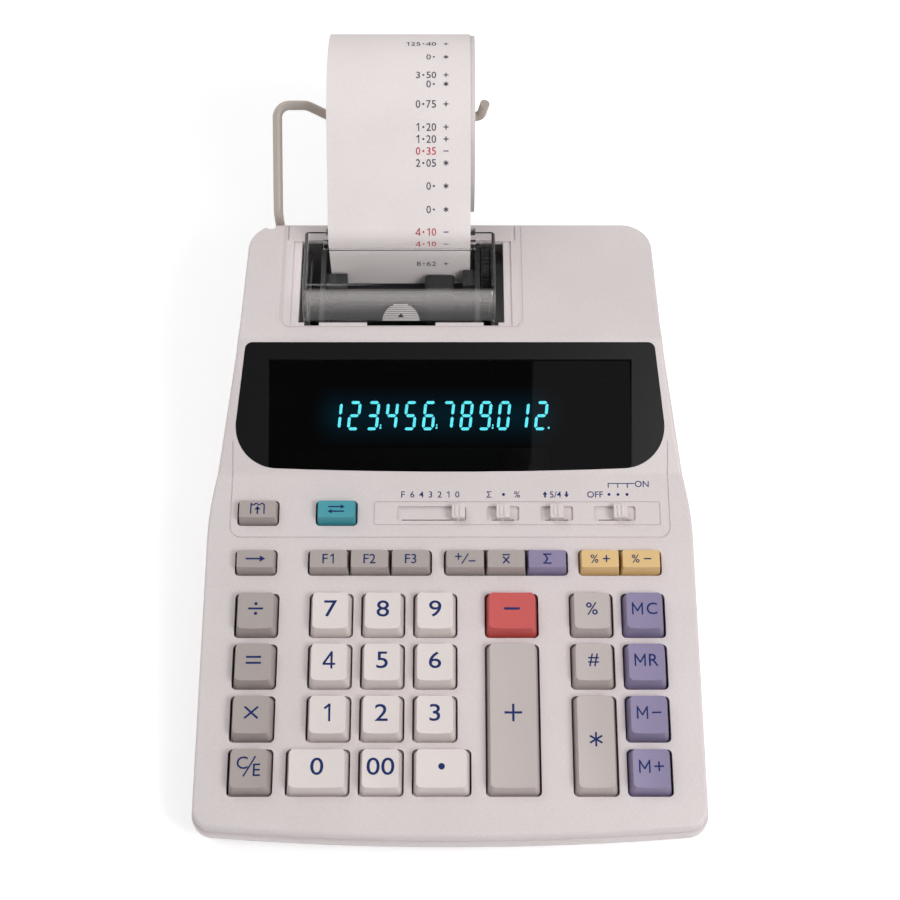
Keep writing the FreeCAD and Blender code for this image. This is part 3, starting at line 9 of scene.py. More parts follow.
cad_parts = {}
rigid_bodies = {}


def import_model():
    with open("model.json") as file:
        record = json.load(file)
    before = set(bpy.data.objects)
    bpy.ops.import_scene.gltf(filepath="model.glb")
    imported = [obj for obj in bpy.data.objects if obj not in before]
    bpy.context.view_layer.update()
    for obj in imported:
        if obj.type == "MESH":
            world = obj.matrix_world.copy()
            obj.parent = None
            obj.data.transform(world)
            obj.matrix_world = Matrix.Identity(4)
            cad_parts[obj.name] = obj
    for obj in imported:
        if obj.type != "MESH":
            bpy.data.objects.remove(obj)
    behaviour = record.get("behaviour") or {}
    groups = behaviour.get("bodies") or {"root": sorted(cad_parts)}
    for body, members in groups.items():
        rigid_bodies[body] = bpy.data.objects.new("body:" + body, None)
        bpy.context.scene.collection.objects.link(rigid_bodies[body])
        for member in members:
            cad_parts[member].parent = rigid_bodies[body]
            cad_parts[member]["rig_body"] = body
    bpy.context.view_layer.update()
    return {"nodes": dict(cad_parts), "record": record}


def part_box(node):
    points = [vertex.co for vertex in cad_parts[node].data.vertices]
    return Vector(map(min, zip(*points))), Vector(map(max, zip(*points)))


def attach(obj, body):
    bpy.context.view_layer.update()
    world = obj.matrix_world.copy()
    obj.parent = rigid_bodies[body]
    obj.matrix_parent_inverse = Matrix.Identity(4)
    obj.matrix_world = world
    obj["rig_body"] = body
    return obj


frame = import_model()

# Lower case: the shallow tray that everything is screwed into, injection moulded in the
# same light warm grey as the upper half. Its rim shows as a second band along the front.
MM = 0.001
nodes = frame["nodes"]
slot_of = {row["node"]: row["material_slot"] for row in frame["record"]["subparts"]}


def shader_group(name, inputs, outputs):
    """An empty shader node group with named sockets."""
    group = bpy.data.node_groups.new(name, "ShaderNodeTree")
    for label, kind, value in inputs:
        socket = group.interface.new_socket(label, in_out="INPUT", socket_type=kind)
        socket.default_value = value
    for label, kind in outputs:
        group.interface.new_socket(label, in_out="OUTPUT", socket_type=kind)
    start = group.nodes.new("NodeGroupInput")
    end = group.nodes.new("NodeGroupOutput")
    return group, start, end


def object_place(tree):
    """Coordinates in metres that stay with the object."""
    return tree.nodes.new("ShaderNodeTexCoord").outputs["Object"]


def axes_of(tree, vector):
    """The three numbers of a vector."""
    node = tree.nodes.new("ShaderNodeSeparateXYZ")
    tree.links.new(vector, node.inputs["Vector"])
    return node.outputs


def noise_in(tree, coordinates, scale, detail=2.0):
    """Noise whose grains are 1 / scale metres across."""
    node = tree.nodes.new("ShaderNodeTexNoise")
    node.inputs["Scale"].default_value = scale
    node.inputs["Detail"].default_value = detail
    tree.links.new(coordinates, node.inputs["Vector"])
    return node.outputs["Fac"]


def ranged(tree, value, low, high, to_low, to_high):
    """A value carried from one range to another, clamped."""
    node = tree.nodes.new("ShaderNodeMapRange")
    node.inputs["From Min"].default_value = low
    node.inputs["From Max"].default_value = high
    node.inputs["To Min"].default_value = to_low
    node.inputs["To Max"].default_value = to_high
    tree.links.new(value, node.inputs["Value"])
    return node.outputs["Result"]


def varied(tree, noise, low, high):
    """Noise spread over a range; nearly all of it lies between 0.3 and 0.7."""
    return ranged(tree, noise, 0.3, 0.7, low, high)


def maths(tree, operation, first, second):
    """One sum on two sockets or numbers."""
    node = tree.nodes.new("ShaderNodeMath")
    node.operation = operation
    for i, value in enumerate((first, second)):
        if isinstance(value, (int, float)):
            node.inputs[i].default_value = value
        else:
            tree.links.new(value, node.inputs[i])
    return node.outputs["Value"]


def scaled_colour(tree, colour, factor):
    """A colour multiplied by a value that changes over the surface."""
    node = tree.nodes.new("ShaderNodeVectorMath")
    node.operation = "SCALE"
    tree.links.new(colour, node.inputs[0])
    tree.links.new(factor, node.inputs["Scale"])
    return node.outputs["Vector"]


GRAIN_SCALE = 1500
GRAIN_ROUGH = 0.06
FLECK_SCALE = 2600
PATCH_SCALE = 28
PATCH_SHARE = 0.02
RELIEF = 0.05 * MM


def moulded_grain():
    """Fine spark-eroded grain, tiny pale and dark flecks and slow patches of handling."""
    group, start, end = shader_group(
        "moulded_grain",
        [
            ("Colour", "NodeSocketColor", (0.8, 0.8, 0.8, 1)),
            ("Fleck", "NodeSocketFloat", 0.05),
            ("Roughness", "NodeSocketFloat", 0.45),
        ],
        [("Colour", "NodeSocketColor"), ("Roughness", "NodeSocketFloat"), ("Height", "NodeSocketFloat")],
    )
    place = object_place(group)
    grain = noise_in(group, place, GRAIN_SCALE)
    fleck = varied(group, noise_in(group, place, FLECK_SCALE, 1.0), -1, 1)
    patch = varied(group, noise_in(group, place, PATCH_SCALE, 3.0), -PATCH_SHARE, PATCH_SHARE)
    factor = maths(group, "MULTIPLY", fleck, start.outputs["Fleck"])
    factor = maths(group, "ADD", factor, patch)
    factor = maths(group, "ADD", factor, 1.0)
    group.links.new(scaled_colour(group, start.outputs["Colour"], factor), end.inputs["Colour"])
    shine = varied(group, grain, -GRAIN_ROUGH, GRAIN_ROUGH)
    shine = maths(group, "ADD", shine, start.outputs["Roughness"])
    shine = maths(group, "ADD", maths(group, "MULTIPLY", patch, 2.0), shine)
    group.links.new(shine, end.inputs["Roughness"])
    group.links.new(grain, end.inputs["Height"])
    return group


GRAIN = moulded_grain()


def bare_material(name, colour, rough):
    """A material with one principled shader and plain constants."""
    material = bpy.data.materials.new(name)
    material.use_nodes = True
    material.diffuse_color = (*colour, 1)
    shader = material.node_tree.nodes["Principled BSDF"]
    shader.inputs["Base Color"].default_value = (*colour, 1)
    shader.inputs["Roughness"].default_value = rough
    return material, shader, material.node_tree


def add_bump(tree, shader, height, strength, distance):
    """Small relief, as high as its distance in metres."""
    bump = tree.nodes.new("ShaderNodeBump")
    bump.inputs["Strength"].default_value = strength
    bump.inputs["Distance"].default_value = distance
    tree.links.new(height, bump.inputs["Height"])
    tree.links.new(bump.outputs["Normal"], shader.inputs["Normal"])


def moulded(name, colour, rough, fleck, bump=0.12):
    """Moulded plastic in one colour, with the shared grain."""
    material, shader, tree = bare_material(name, colour, rough)
    grain = tree.nodes.new("ShaderNodeGroup")
    grain.node_tree = GRAIN
    grain.inputs["Colour"].default_value = (*colour, 1)
    grain.inputs["Fleck"].default_value = fleck
    grain.inputs["Roughness"].default_value = rough
    tree.links.new(grain.outputs["Colour"], shader.inputs["Base Color"])
    tree.links.new(grain.outputs["Roughness"], shader.inputs["Roughness"])
    add_bump(tree, shader, grain.outputs["Height"], bump, RELIEF)
    return material


def clad(node, material):
    """Gives a solid of the model its finish."""
    for material_slot in nodes[node].material_slots:
        material_slot.material = material


CASE_COLOUR = (0.655, 0.59, 0.592)
CASE_ROUGH = 0.4
CASE_FLECK = 0.06
case_plastic = moulded("case_plastic", CASE_COLOUR, CASE_ROUGH, CASE_FLECK)
clad("lower_case", case_plastic)

# Feet and screws: four soft rubber pads pressed into the base, and four plated steel
# screws that come up through it into the bosses of the upper half.
foot_rubber = moulded("foot_rubber", (0.035, 0.035, 0.037), rough=0.75, fleck=0.15, bump=0.3)
clad("rubber_feet", foot_rubber)


TURNING_SCALE = 900
TURNING_RELIEF = 0.03 * MM


def brushed(name, colour, rough):
    """Plated metal with faint turning marks."""
    material, shader, tree = bare_material(name, colour, rough)
    shader.inputs["Metallic"].default_value = 1.0
    marks = noise_in(tree, object_place(tree), TURNING_SCALE, 3.0)
    tree.links.new(varied(tree, marks, rough - 0.08, rough + 0.1), shader.inputs["Roughness"])
    add_bump(tree, shader, marks, 0.15, TURNING_RELIEF)
    return material


steel = brushed("steel", (0.56, 0.56, 0.57), rough=0.32)
clad("case_screws", steel)

# Boards and power: lacquered circuit boards with a grey rubber sheet of domes over the key
# board, a laminated iron transformer with its wound coil, all screwed to posts of the base.
circuit_board = moulded("circuit_board", (0.05, 0.2, 0.09), rough=0.35, fleck=0.2, bump=0.2)
for board in ("key_board", "main_board"):
    clad(board, circuit_board)
dome_rubber = moulded("dome_rubber", (0.42, 0.42, 0.4), rough=0.7, fleck=0.06, bump=0.2)
clad("dome_mat", dome_rubber)
core_iron = brushed("core_iron", (0.16, 0.16, 0.165), rough=0.5)
clad("transformer", core_iron)

# Upper case: the one large moulding of deck, display slope and flat top, with a hole for
# each key and switch. Light warm grey plastic with a fine satin grain, clipped and screwed down;
# the walls of the printer well carry painted shade, darker below its ledges.
WELL_SPARE = 4.0 * MM
WELL_DEPTH = 4.0 * MM
WELL_PAINTED_SHADE = 0.08
case_top = max(v.co.z for v in nodes["upper_case"].data.vertices)
cover_points = [v.co for v in nodes["printer_cover"].data.vertices]
upper_plastic_painted_well_shade = moulded("upper_plastic_painted_well_shade", CASE_COLOUR, CASE_ROUGH, CASE_FLECK)
tree = upper_plastic_painted_well_shade.node_tree
coat = tree.nodes["Principled BSDF"].inputs["Base Color"]
spots = axes_of(tree, object_place(tree))
# Painted shade: inside the printer well, below its ledges, the base colour is darkened to 0.08 of itself,
# where shade falls in the recess.
well_shade_mask = maths(tree, "LESS_THAN", spots["Z"], case_top - WELL_DEPTH)
for axis in range(2):
    low = min(point[axis] for point in cover_points) - WELL_SPARE
    high = max(point[axis] for point in cover_points) + WELL_SPARE
    well_shade_mask = maths(tree, "MULTIPLY", well_shade_mask, maths(tree, "GREATER_THAN", spots[axis], low))
    well_shade_mask = maths(tree, "MULTIPLY", well_shade_mask, maths(tree, "LESS_THAN", spots[axis], high))
shade = ranged(tree, well_shade_mask, 0.0, 1.0, 1.0, WELL_PAINTED_SHADE)
tree.links.new(scaled_colour(tree, coat.links[0].from_socket, shade), coat)
clad("upper_case", upper_plastic_painted_well_shade)

# Keys: moulded caps with a hollowed top, one colour for each kind of key, each sliding in
# its hole on a stem. Their marks are printed in navy ink and fixed by heat.
DECK_TILT = math.radians(8)
ACROSS = Vector((1, 0, 0))
UP_DECK = Vector((0, math.cos(DECK_TILT), math.sin(DECK_TILT)))
OFF_DECK = Vector((0, -math.sin(DECK_TILT), math.cos(DECK_TILT)))
INK_LIFT = 0.06 * MM
INK_WEIGHT = 0.004
INK_SHINE = 0.15
CURVE_STEPS = 4
KEY_ROUGH = 0.42
KEY_FLECK = 0.035
KEY_COLOURS = {
    "white_keys": (0.71, 0.645, 0.625),
    "grey_keys": (0.39, 0.338, 0.322),
    "pale_grey_keys": (0.49, 0.43, 0.415),
    "red_key": (0.56, 0.09, 0.085),
    "purple_keys": (0.25, 0.212, 0.345),
    "yellow_keys": (0.69, 0.47, 0.215),
    "teal_key": (0.055, 0.315, 0.375),
}
key_finish = {
    name: moulded(name, colour, KEY_ROUGH, KEY_FLECK) for name, colour in KEY_COLOURS.items()
}
legend_ink = moulded("legend_ink", (0.012, 0.027, 0.125), rough=0.6, fleck=0.15)
legend_ink.node_tree.nodes["Principled BSDF"].inputs["Specular IOR Level"].default_value = INK_SHINE
key_nodes = [name for name in nodes if name.startswith("key_") and name != "key_board"]
for name in key_nodes:
    clad(name, key_finish[slot_of[name]])


def joined_to(bm, mesh, matrix):
    """Adds a mesh to a bmesh, placed by a matrix, and drops the mesh."""
    mesh.transform(matrix)
    bm.from_mesh(mesh)
    bpy.data.meshes.remove(mesh)


def add_text(bm, words, height, x=0.0, y=0.0, widest=None, stretch=1.0):
    """Filled characters, centred on a point, as tall as asked."""
    curve = bpy.data.curves.new("words", "FONT")
    curve.body = words
    curve.resolution_u = CURVE_STEPS
    curve.offset = INK_WEIGHT
    holder = bpy.data.objects.new("words", curve)
    mesh = bpy.data.meshes.new_from_object(holder)
    bpy.data.objects.remove(holder)
    bpy.data.curves.remove(curve)
    xs = [v.co.x for v in mesh.vertices]
    ys = [v.co.y for v in mesh.vertices]
    middle = Vector(((min(xs) + max(xs)) / 2, (min(ys) + max(ys)) / 2, 0))
    tall = height / (max(ys) - min(ys))
    wide = tall * stretch
    if widest:
        wide = min(wide, widest / (max(xs) - min(xs)))
    size = Matrix.Diagonal((wide, tall, 1, 1))
    joined_to(bm, mesh, Matrix.Translation((x, y, 0)) @ size @ Matrix.Translation(-middle))


BAR_STEPS = 8


def add_bar(bm, x, y, width, height, turn=0.0):
    """A printed stroke, centred on a point and turned in degrees."""
    place = Matrix.Translation((x, y, 0)) @ Matrix.Rotation(math.radians(turn), 4, "Z")
    place = place @ Matrix.Diagonal((width, height, 1, 1))
    bmesh.ops.create_grid(bm, x_segments=BAR_STEPS, y_segments=1, size=0.5, matrix=place)


def add_disc(bm, x, y, radius, segments=28):
    """A filled round dot."""
    bmesh.ops.create_circle(
        bm, cap_ends=True, segments=segments, radius=radius, matrix=Matrix.Translation((x, y, 0))
    )


def add_point(bm, x, y, width, height, turn=0.0):
    """A filled triangle that points up before it is turned."""
    place = Matrix.Translation((x, y, 0)) @ Matrix.Rotation(math.radians(turn), 4, "Z")
    corners = [(-width / 2, -height / 2, 0), (width / 2, -height / 2, 0), (0, height / 2, 0)]
    bm.faces.new([bm.verts.new(place @ Vector(corner)) for corner in corners])


# Both ends of each stroke of a character, as shares of its height.
STROKED = {
    "1": ((0.09, -0.5, 0.09, 0.5), (-0.19, 0.25, 0.09, 0.47)),
    "4": ((0.14, -0.5, 0.14, 0.5), (-0.33, -0.22, 0.14, 0.47), (-0.36, -0.24, 0.34, -0.24)),
    "M": ((-0.4, -0.5, -0.4, 0.5), (0.4, -0.5, 0.4, 0.5), (-0.4, 0.45, 0, -0.2), (0, -0.2, 0.4, 0.45)),
}
STROKE_SHARE = 0.125
STROKE_OVERRUN = 0.3 * STROKE_SHARE


def add_stroked(bm, character, height, x=0.0, y=0.0):
    """A character made of straight strokes."""
    for x0, y0, x1, y1 in STROKED[character]:
        length = math.hypot(x1 - x0, y1 - y0)
        turn = math.degrees(math.atan2(y1 - y0, x1 - x0))
        middle = (x + (x0 + x1) / 2 * height, y + (y0 + y1) / 2 * height)
        add_bar(bm, *middle, (length + STROKE_OVERRUN) * height, STROKE_SHARE * height, turn)


def surface_of(node):
    """A solid's faces, for rays to hit."""
    mesh = nodes[node].data
    return BVHTree.FromPolygons([v.co for v in mesh.vertices], [p.vertices for p in mesh.polygons])


LONGEST_EDGE = 1.2
EDGE_CUTS = 4
LAYING_REACH = 4 * MM


def laid_on(bm, surface, origin, across, along, lift=INK_LIFT):
    """Carries a flat drawing in mm onto a surface, straight down its local normal."""
    off = across.cross(along).normalized()
    long_edges = [edge for edge in bm.edges if edge.calc_length() > LONGEST_EDGE]
    bmesh.ops.subdivide_edges(bm, edges=long_edges, cuts=EDGE_CUTS, use_grid_fill=True)
    for vert in bm.verts:
        flat = origin + across * (vert.co.x * MM) + along * (vert.co.y * MM)
        hit = surface.ray_cast(flat + off * LAYING_REACH, -off, LAYING_REACH * 4)[0]
        vert.co = (hit or flat) + off * lift


def piece_from(bm, name, material, body, smooth=False):
    """Ends a bmesh as one named piece that rides on a body."""
    mesh = bpy.data.meshes.new(name)
    bm.to_mesh(mesh)
    bm.free()
    mesh.materials.append(material)
    if smooth:
        mesh.shade_smooth()
    piece = bpy.data.objects.new(name, mesh)
    bpy.context.scene.collection.objects.link(piece)
    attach(piece, body)


CROWN_DEPTH = 0.9 * MM


def key_top(node):
    """Middle of a key's top, as a point over the deck's own directions."""
    points = [v.co for v in nodes[node].data.vertices]
    top = max(p.dot(OFF_DECK) for p in points)
    crown = [p for p in points if p.dot(OFF_DECK) > top - CROWN_DEPTH]
    u = [p.x for p in crown]
    v = [p.dot(UP_DECK) for p in crown]
    return ACROSS * (min(u) + max(u)) / 2 + UP_DECK * (min(v) + max(v)) / 2 + OFF_DECK * top


def crossed(x, y, length, stroke):
    """The strokes of a plus sign."""
    return (add_bar, x, y, length, stroke), (add_bar, x, y, length, stroke, 90)


def star(size, stroke):
    """The strokes of a six-pointed star."""
    return tuple((add_bar, 0, 0, size, stroke, turn) for turn in (90, 30, -30))


def draw(bm, marks):
    """Draws a mark from its list of strokes, each a function and its sizes."""
    for stroke, *sizes in marks:
        stroke(bm, *sizes)


DIGIT_HEIGHT = 6.4
DIGIT_STRETCH = 1.2
LEGEND_RISE = 0.8
TALL_KEY = 12 * MM
FUNCTION_HEIGHT = 3.8
MEMORY_HEIGHT = 4.6
SYMBOL_HEIGHT = 4.9
CLEAR_HEIGHT = 4.6

# Each stroke in mm from the middle of a key: x, y, length, width and turn of a bar; x, y and radius of
# a disc; x, y, width, height and turn of a triangle; words, height, x and y of a text.
RATE_MARK = (add_text, "%", 3.3, -2.2)
MEMORY_MARK = (add_stroked, "M", MEMORY_HEIGHT, -2.4)
SUM_MARK = (
    (add_bar, 0, 1.8, 3.2, 0.55), (add_bar, 0, -1.8, 3.2, 0.55),
    (add_bar, -0.45, 0.87, 2.5, 0.55, -57), (add_bar, -0.45, -0.87, 2.5, 0.55, 57),
)
FEED_TEETH = tuple((add_bar, (i - 2) * 1.12, 1.95, 1.35, 0.5, 45 if i % 2 else -45) for i in range(5))
LEGENDS = {
    "divide": ((add_bar, 0, 0, 5.7, 0.75), (add_disc, 0, -1.9, 0.62), (add_disc, 0, 1.9, 0.62)),
    "equals": ((add_bar, 0, -1.15, 5.7, 0.8), (add_bar, 0, 1.15, 5.7, 0.8)),
    "times": ((add_bar, 0, 0, 6.6, 0.75, 41), (add_bar, 0, 0, 6.6, 0.75, -41)),
    "clear": (
        (add_text, "C", CLEAR_HEIGHT, -2.5, 1.3), (add_bar, 0.2, 0, 8.6, 0.55, 60),
        (add_text, "E", CLEAR_HEIGHT, 2.9, -1.3),
    ),
    "percent": ((add_text, "%", SYMBOL_HEIGHT),),
    "number": ((add_text, "#", SYMBOL_HEIGHT),),
    "total": star(5.3, 0.7),
    "minus": ((add_bar, 0, 0, 6.0, 0.9),),
    "plus": crossed(0, 0, 6.6, 0.85),
    "point": ((add_disc, 0, 0, 1.2),),
    "arrow": ((add_bar, -0.9, 0, 5.6, 0.65), (add_point, 2.8, 0, 2.6, 2.2, -90)),
    "feed": (
        (add_bar, 0, -0.9, 2.4, 0.6, 90), (add_point, 0, 0.5, 2.3, 1.5),
        (add_bar, -2.6, -0.1, 3.9, 0.5, 90), (add_bar, 2.6, -0.1, 3.9, 0.5, 90), *FEED_TEETH,
    ),
    "shift": (
        (add_bar, 0.6, -0.95, 5.0, 0.55), (add_point, -2.6, -0.95, 1.8, 1.7, 90),
        (add_bar, -0.6, 0.95, 5.0, 0.55), (add_point, 2.6, 0.95, 1.8, 1.7, -90),
    ),
    "sign": (
        *crossed(-2.6, 0.9, 2.6, 0.5), (add_bar, 0, 0, 4.8, 0.45, 58), (add_bar, 2.7, -0.9, 2.6, 0.5),
    ),
    "average": (
        (add_bar, 0, -0.5, 3.7, 0.55, 48), (add_bar, 0, -0.5, 3.7, 0.55, -48), (add_bar, 0, 1.6, 2.9, 0.5),
    ),
    "sum": SUM_MARK,
    "rate_plus": (RATE_MARK, *crossed(2.4, 0, 2.8, 0.5)),
    "rate_minus": (RATE_MARK, (add_bar, 2.4, 0, 2.8, 0.5)),
    "memory_plus": (MEMORY_MARK, *crossed(2.9, 0, 3.5, 0.6)),
    "memory_minus": (MEMORY_MARK, (add_bar, 2.9, 0, 3.5, 0.6)),
    "memory": (MEMORY_MARK, (add_text, "R", MEMORY_HEIGHT, 2.7)),
    "recall": ((add_stroked, "M", MEMORY_HEIGHT, -2.6), (add_text, "C", MEMORY_HEIGHT, 2.9)),
    "1": ((add_stroked, "1", DIGIT_HEIGHT),),
    "4": ((add_stroked, "4", DIGIT_HEIGHT),),
    "f1": ((add_text, "F", FUNCTION_HEIGHT, -1.3), (add_stroked, "1", FUNCTION_HEIGHT, 1.5)),
    "f2": ((add_text, "F2", FUNCTION_HEIGHT),),
    "f3": ((add_text, "F3", FUNCTION_HEIGHT),),
}
for node in key_nodes:
    label = node[len("key_"):]
    bm = bmesh.new()
    if label in LEGENDS:
        draw(bm, LEGENDS[label])
    else:
        add_text(bm, label, DIGIT_HEIGHT, stretch=DIGIT_STRETCH)
    if nodes[node].dimensions.y > TALL_KEY:
        bmesh.ops.translate(bm, vec=(0, LEGEND_RISE, 0), verts=bm.verts)
    laid_on(bm, surface_of(node), key_top(node), ACROSS, UP_DECK)
    piece_from(bm, "legend_" + label, legend_ink, nodes[node]["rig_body"])

# Slide switches: small ribbed knobs that run in slots of a plate outlined on the deck, with
# their settings printed behind them in the same navy ink as the keys.
EYE = Vector((0, -0.3152, 0.604))
EYE_PITCH = math.radians(28.7)
PHOTO_MIDDLE = 450
PHOTO_FOCUS = 1600
KNOBS = ("decimal_knob", "rate_knob", "round_knob", "power_knob")
RIB_SIDE = 0.85
RIB_SIZE = (1.2, 4.6, 0.9)
RIB_ROUND = 0.3
knob_plastic = moulded("knob_plastic", (0.68, 0.62, 0.605), rough=0.4, fleck=0.04)


def seen_on(surface, px, py):
    """The point of a surface that the camera shows at a pixel, and its normal there."""
    aim = Vector(((px - PHOTO_MIDDLE) / PHOTO_FOCUS, (PHOTO_MIDDLE - py) / PHOTO_FOCUS, -1))
    return surface.ray_cast(EYE, Matrix.Rotation(EYE_PITCH, 3, "X") @ aim)[:2]


def add_rib(bm, place, size, round_by):
    """A bar with rounded edges, given by the matrix of its middle and its size."""
    made = bmesh.ops.create_cube(bm, size=1, matrix=place @ Matrix.Diagonal((*size, 1)))
    edges = {edge for vert in made["verts"] for edge in vert.link_edges}
    bmesh.ops.bevel(
        bm, geom=list(edges), offset=round_by, offset_type="OFFSET", affect="EDGES", segments=2,
        profile=0.5, material=-1,
    )


def frame_at(origin, across, along):
    """A matrix in metres whose own axes are two directions and what stands off them."""
    off = across.cross(along).normalized()
    turn = Matrix((across, along, off)).transposed().to_4x4()
    return Matrix.Translation(origin) @ turn


for name in KNOBS:
    clad(name, knob_plastic)
    bm = bmesh.new()
    for side in (-1, 1):
        add_rib(bm, Matrix.Translation((side * RIB_SIDE, 0, 0)), RIB_SIZE, RIB_ROUND)
    bmesh.ops.scale(bm, vec=(MM, MM, MM), verts=bm.verts)
    bmesh.ops.transform(bm, matrix=frame_at(key_top(name), ACROSS, UP_DECK), verts=bm.verts)
    piece_from(bm, name + "_ribs", knob_plastic, nodes[name]["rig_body"], True)

deck_surface = surface_of("upper_case")
MARK_HEIGHT = 2.6
MARK_LINE = 494.5
UPPER_LINE = 484.0
BRACKET_STROKE = 0.35
SMALL_SUM = 0.62


def written(words):
    """A mark that is a word or a figure."""
    return ((add_text, words, MARK_HEIGHT),)


UP_MARK = ((add_bar, 0, -0.7, 1.1, 0.7, 90), (add_point, 0, 0.6, 1.9, 1.4))
DOWN_MARK = ((add_bar, 0, 0.7, 1.1, 0.7, 90), (add_point, 0, -0.6, 1.9, 1.4, 180))
DOT_MARK = ((add_disc, 0, 0, 0.6),)
LITTLE_SUM = tuple(
    (stroke, *(SMALL_SUM * size for size in sizes[:4]), *sizes[4:]) for stroke, *sizes in SUM_MARK
)
ON_MARK = (
    (add_text, "ON", MARK_HEIGHT, 8.2), (add_bar, 0, 0.2, 10.6, BRACKET_STROKE),
    *((add_bar, i * 3.8 - 5.1, -0.7, 1.8, BRACKET_STROKE, 90) for i in range(3)),
)

# Each mark and the pixel column of the photograph where it stands.
SETTINGS = (
    (written("F"), 403), (written("6"), 412.3), (written("4"), 421.4), (written("3"), 430.5),
    (written("2"), 439.6), (written("0"), 457.3), (written("%"), 517), (written("5/4"), 555.5),
    (written("OFF"), 595), (((add_stroked, "1", MARK_HEIGHT),), 448.4), (LITTLE_SUM, 489),
    (DOT_MARK, 503.5), (UP_MARK, 545), (DOWN_MARK, 566.5), (DOT_MARK, 609), (DOT_MARK, 618),
    (DOT_MARK, 627),
)
ON_PLACE = 621


def print_mark(bm, mark, surface, px, py, lift=INK_LIFT):
    """Lays a drawing on a surface where the camera shows a pixel, and adds it to a piece."""
    place, normal = seen_on(surface, px, py)
    laid_on(mark, surface, place, ACROSS, normal.cross(ACROSS).normalized(), lift)
    flat = bpy.data.meshes.new("mark")
    mark.to_mesh(flat)
    mark.free()
    joined_to(bm, flat, Matrix.Identity(4))


placed_marks = [(marks, px, MARK_LINE) for marks, px in SETTINGS]
placed_marks.append((ON_MARK, ON_PLACE, UPPER_LINE))
bm = bmesh.new()
for marks, px, py in placed_marks:
    mark = bmesh.new()
    draw(mark, marks)
    print_mark(bm, mark, deck_surface, px, py)
piece_from(bm, "switch_marks", legend_ink, "case")

# Display: a one-piece smoked moulding, satin round its rim, with a glossy lens set back under
# a brow, and behind it a vacuum tube whose digit segments glow blue-green.
WINDOW_TILT = math.radians(28.5)
UP_SLOPE = Vector((0, math.cos(WINDOW_TILT), math.sin(WINDOW_TILT)))
OFF_SLOPE = Vector((0, -math.sin(WINDOW_TILT), math.cos(WINDOW_TILT)))
RECESS_DEPTH = (2.6 * MM, 3.6 * MM)
window_points = [v.co for v in nodes["display_window"].data.vertices]
window_face = max(point.dot(OFF_SLOPE) for point in window_points)
recess = [
    point for point in window_points
    if RECESS_DEPTH[0] < window_face - point.dot(OFF_SLOPE) < RECESS_DEPTH[1]
]
lens_half = max(point.x for point in recess)
lens_head = max(point.dot(UP_SLOPE) for point in recess)
ACRYLIC_IOR = 1.49
SMEAR_ROUGH = 0.03
SMOKE_COLOUR = (0.06, 0.06, 0.065)
RIM_COLOUR = (0.006, 0.006, 0.007)
RIM_SHINE = 0.25


def see_through(name, colour, rough, smear_scale):
    """Clear plastic with faint smears of handling."""
    material, shader, tree = bare_material(name, colour, rough)
    shader.inputs["Transmission Weight"].default_value = 1.0
    shader.inputs["IOR"].default_value = ACRYLIC_IOR
    smear = noise_in(tree, object_place(tree), smear_scale, 4.0)
    tree.links.new(ranged(tree, smear, 0.35, 0.7, 0.0, SMEAR_ROUGH), shader.inputs["Roughness"])
    return material, shader, tree


def mixed(tree, share, first, second):
    """Gives the surface two shaders, with a share of the second."""
    node = tree.nodes.new("ShaderNodeMixShader")
    tree.links.new(share, node.inputs["Fac"])
    tree.links.new(first.outputs["BSDF"], node.inputs[1])
    tree.links.new(second.outputs["BSDF"], node.inputs[2])
    tree.links.new(node.outputs["Shader"], tree.nodes["Material Output"].inputs["Surface"])


def tinted(tree, colour, factor):
    """A plain colour multiplied by a value that changes over the surface."""
    tint = tree.nodes.new("ShaderNodeRGB")
    tint.outputs[0].default_value = (*colour, 1)
    return scaled_colour(tree, tint.outputs[0], factor)


smoked_plastic, shader, tree = see_through("smoked_plastic", SMOKE_COLOUR, rough=0.05, smear_scale=60)
place = object_place(tree)
rim = tree.nodes.new("ShaderNodeBsdfPrincipled")
rim.inputs["Base Color"].default_value = (*RIM_COLOUR, 1)
rim.inputs["Specular IOR Level"].default_value = RIM_SHINE
satin = varied(tree, noise_in(tree, place, GRAIN_SCALE), 0.32, 0.42)
tree.links.new(satin, rim.inputs["Roughness"])
up = tree.nodes.new("ShaderNodeVectorMath")
up.operation = "DOT_PRODUCT"
up.inputs[1].default_value = UP_SLOPE
tree.links.new(place, up.inputs[0])
across = maths(tree, "ABSOLUTE", axes_of(tree, place)["X"], 0)
between = maths(tree, "LESS_THAN", across, lens_half)
below = maths(tree, "LESS_THAN", up.outputs["Value"], lens_head)
mixed(tree, maths(tree, "MULTIPLY", between, below), rim, shader)
clad("display_window", smoked_plastic)
tube_glass = moulded("tube_glass", (0.003, 0.004, 0.004), rough=0.3, fleck=0.2, bump=0.0)
clad("display_tube", tube_glass)

GLOW = (0.12, 0.8, 0.84)
GLOW_STRENGTH = 20.0
FLICKER_SCALE = 700
display_glow, shader, tree = bare_material("display_glow", (0.02, 0.1, 0.1), rough=0.4)
shader.inputs["Emission Strength"].default_value = GLOW_STRENGTH
flicker = varied(tree, noise_in(tree, object_place(tree), FLICKER_SCALE), 0.85, 1.1)
tree.links.new(tinted(tree, GLOW, flicker), shader.inputs["Emission Color"])

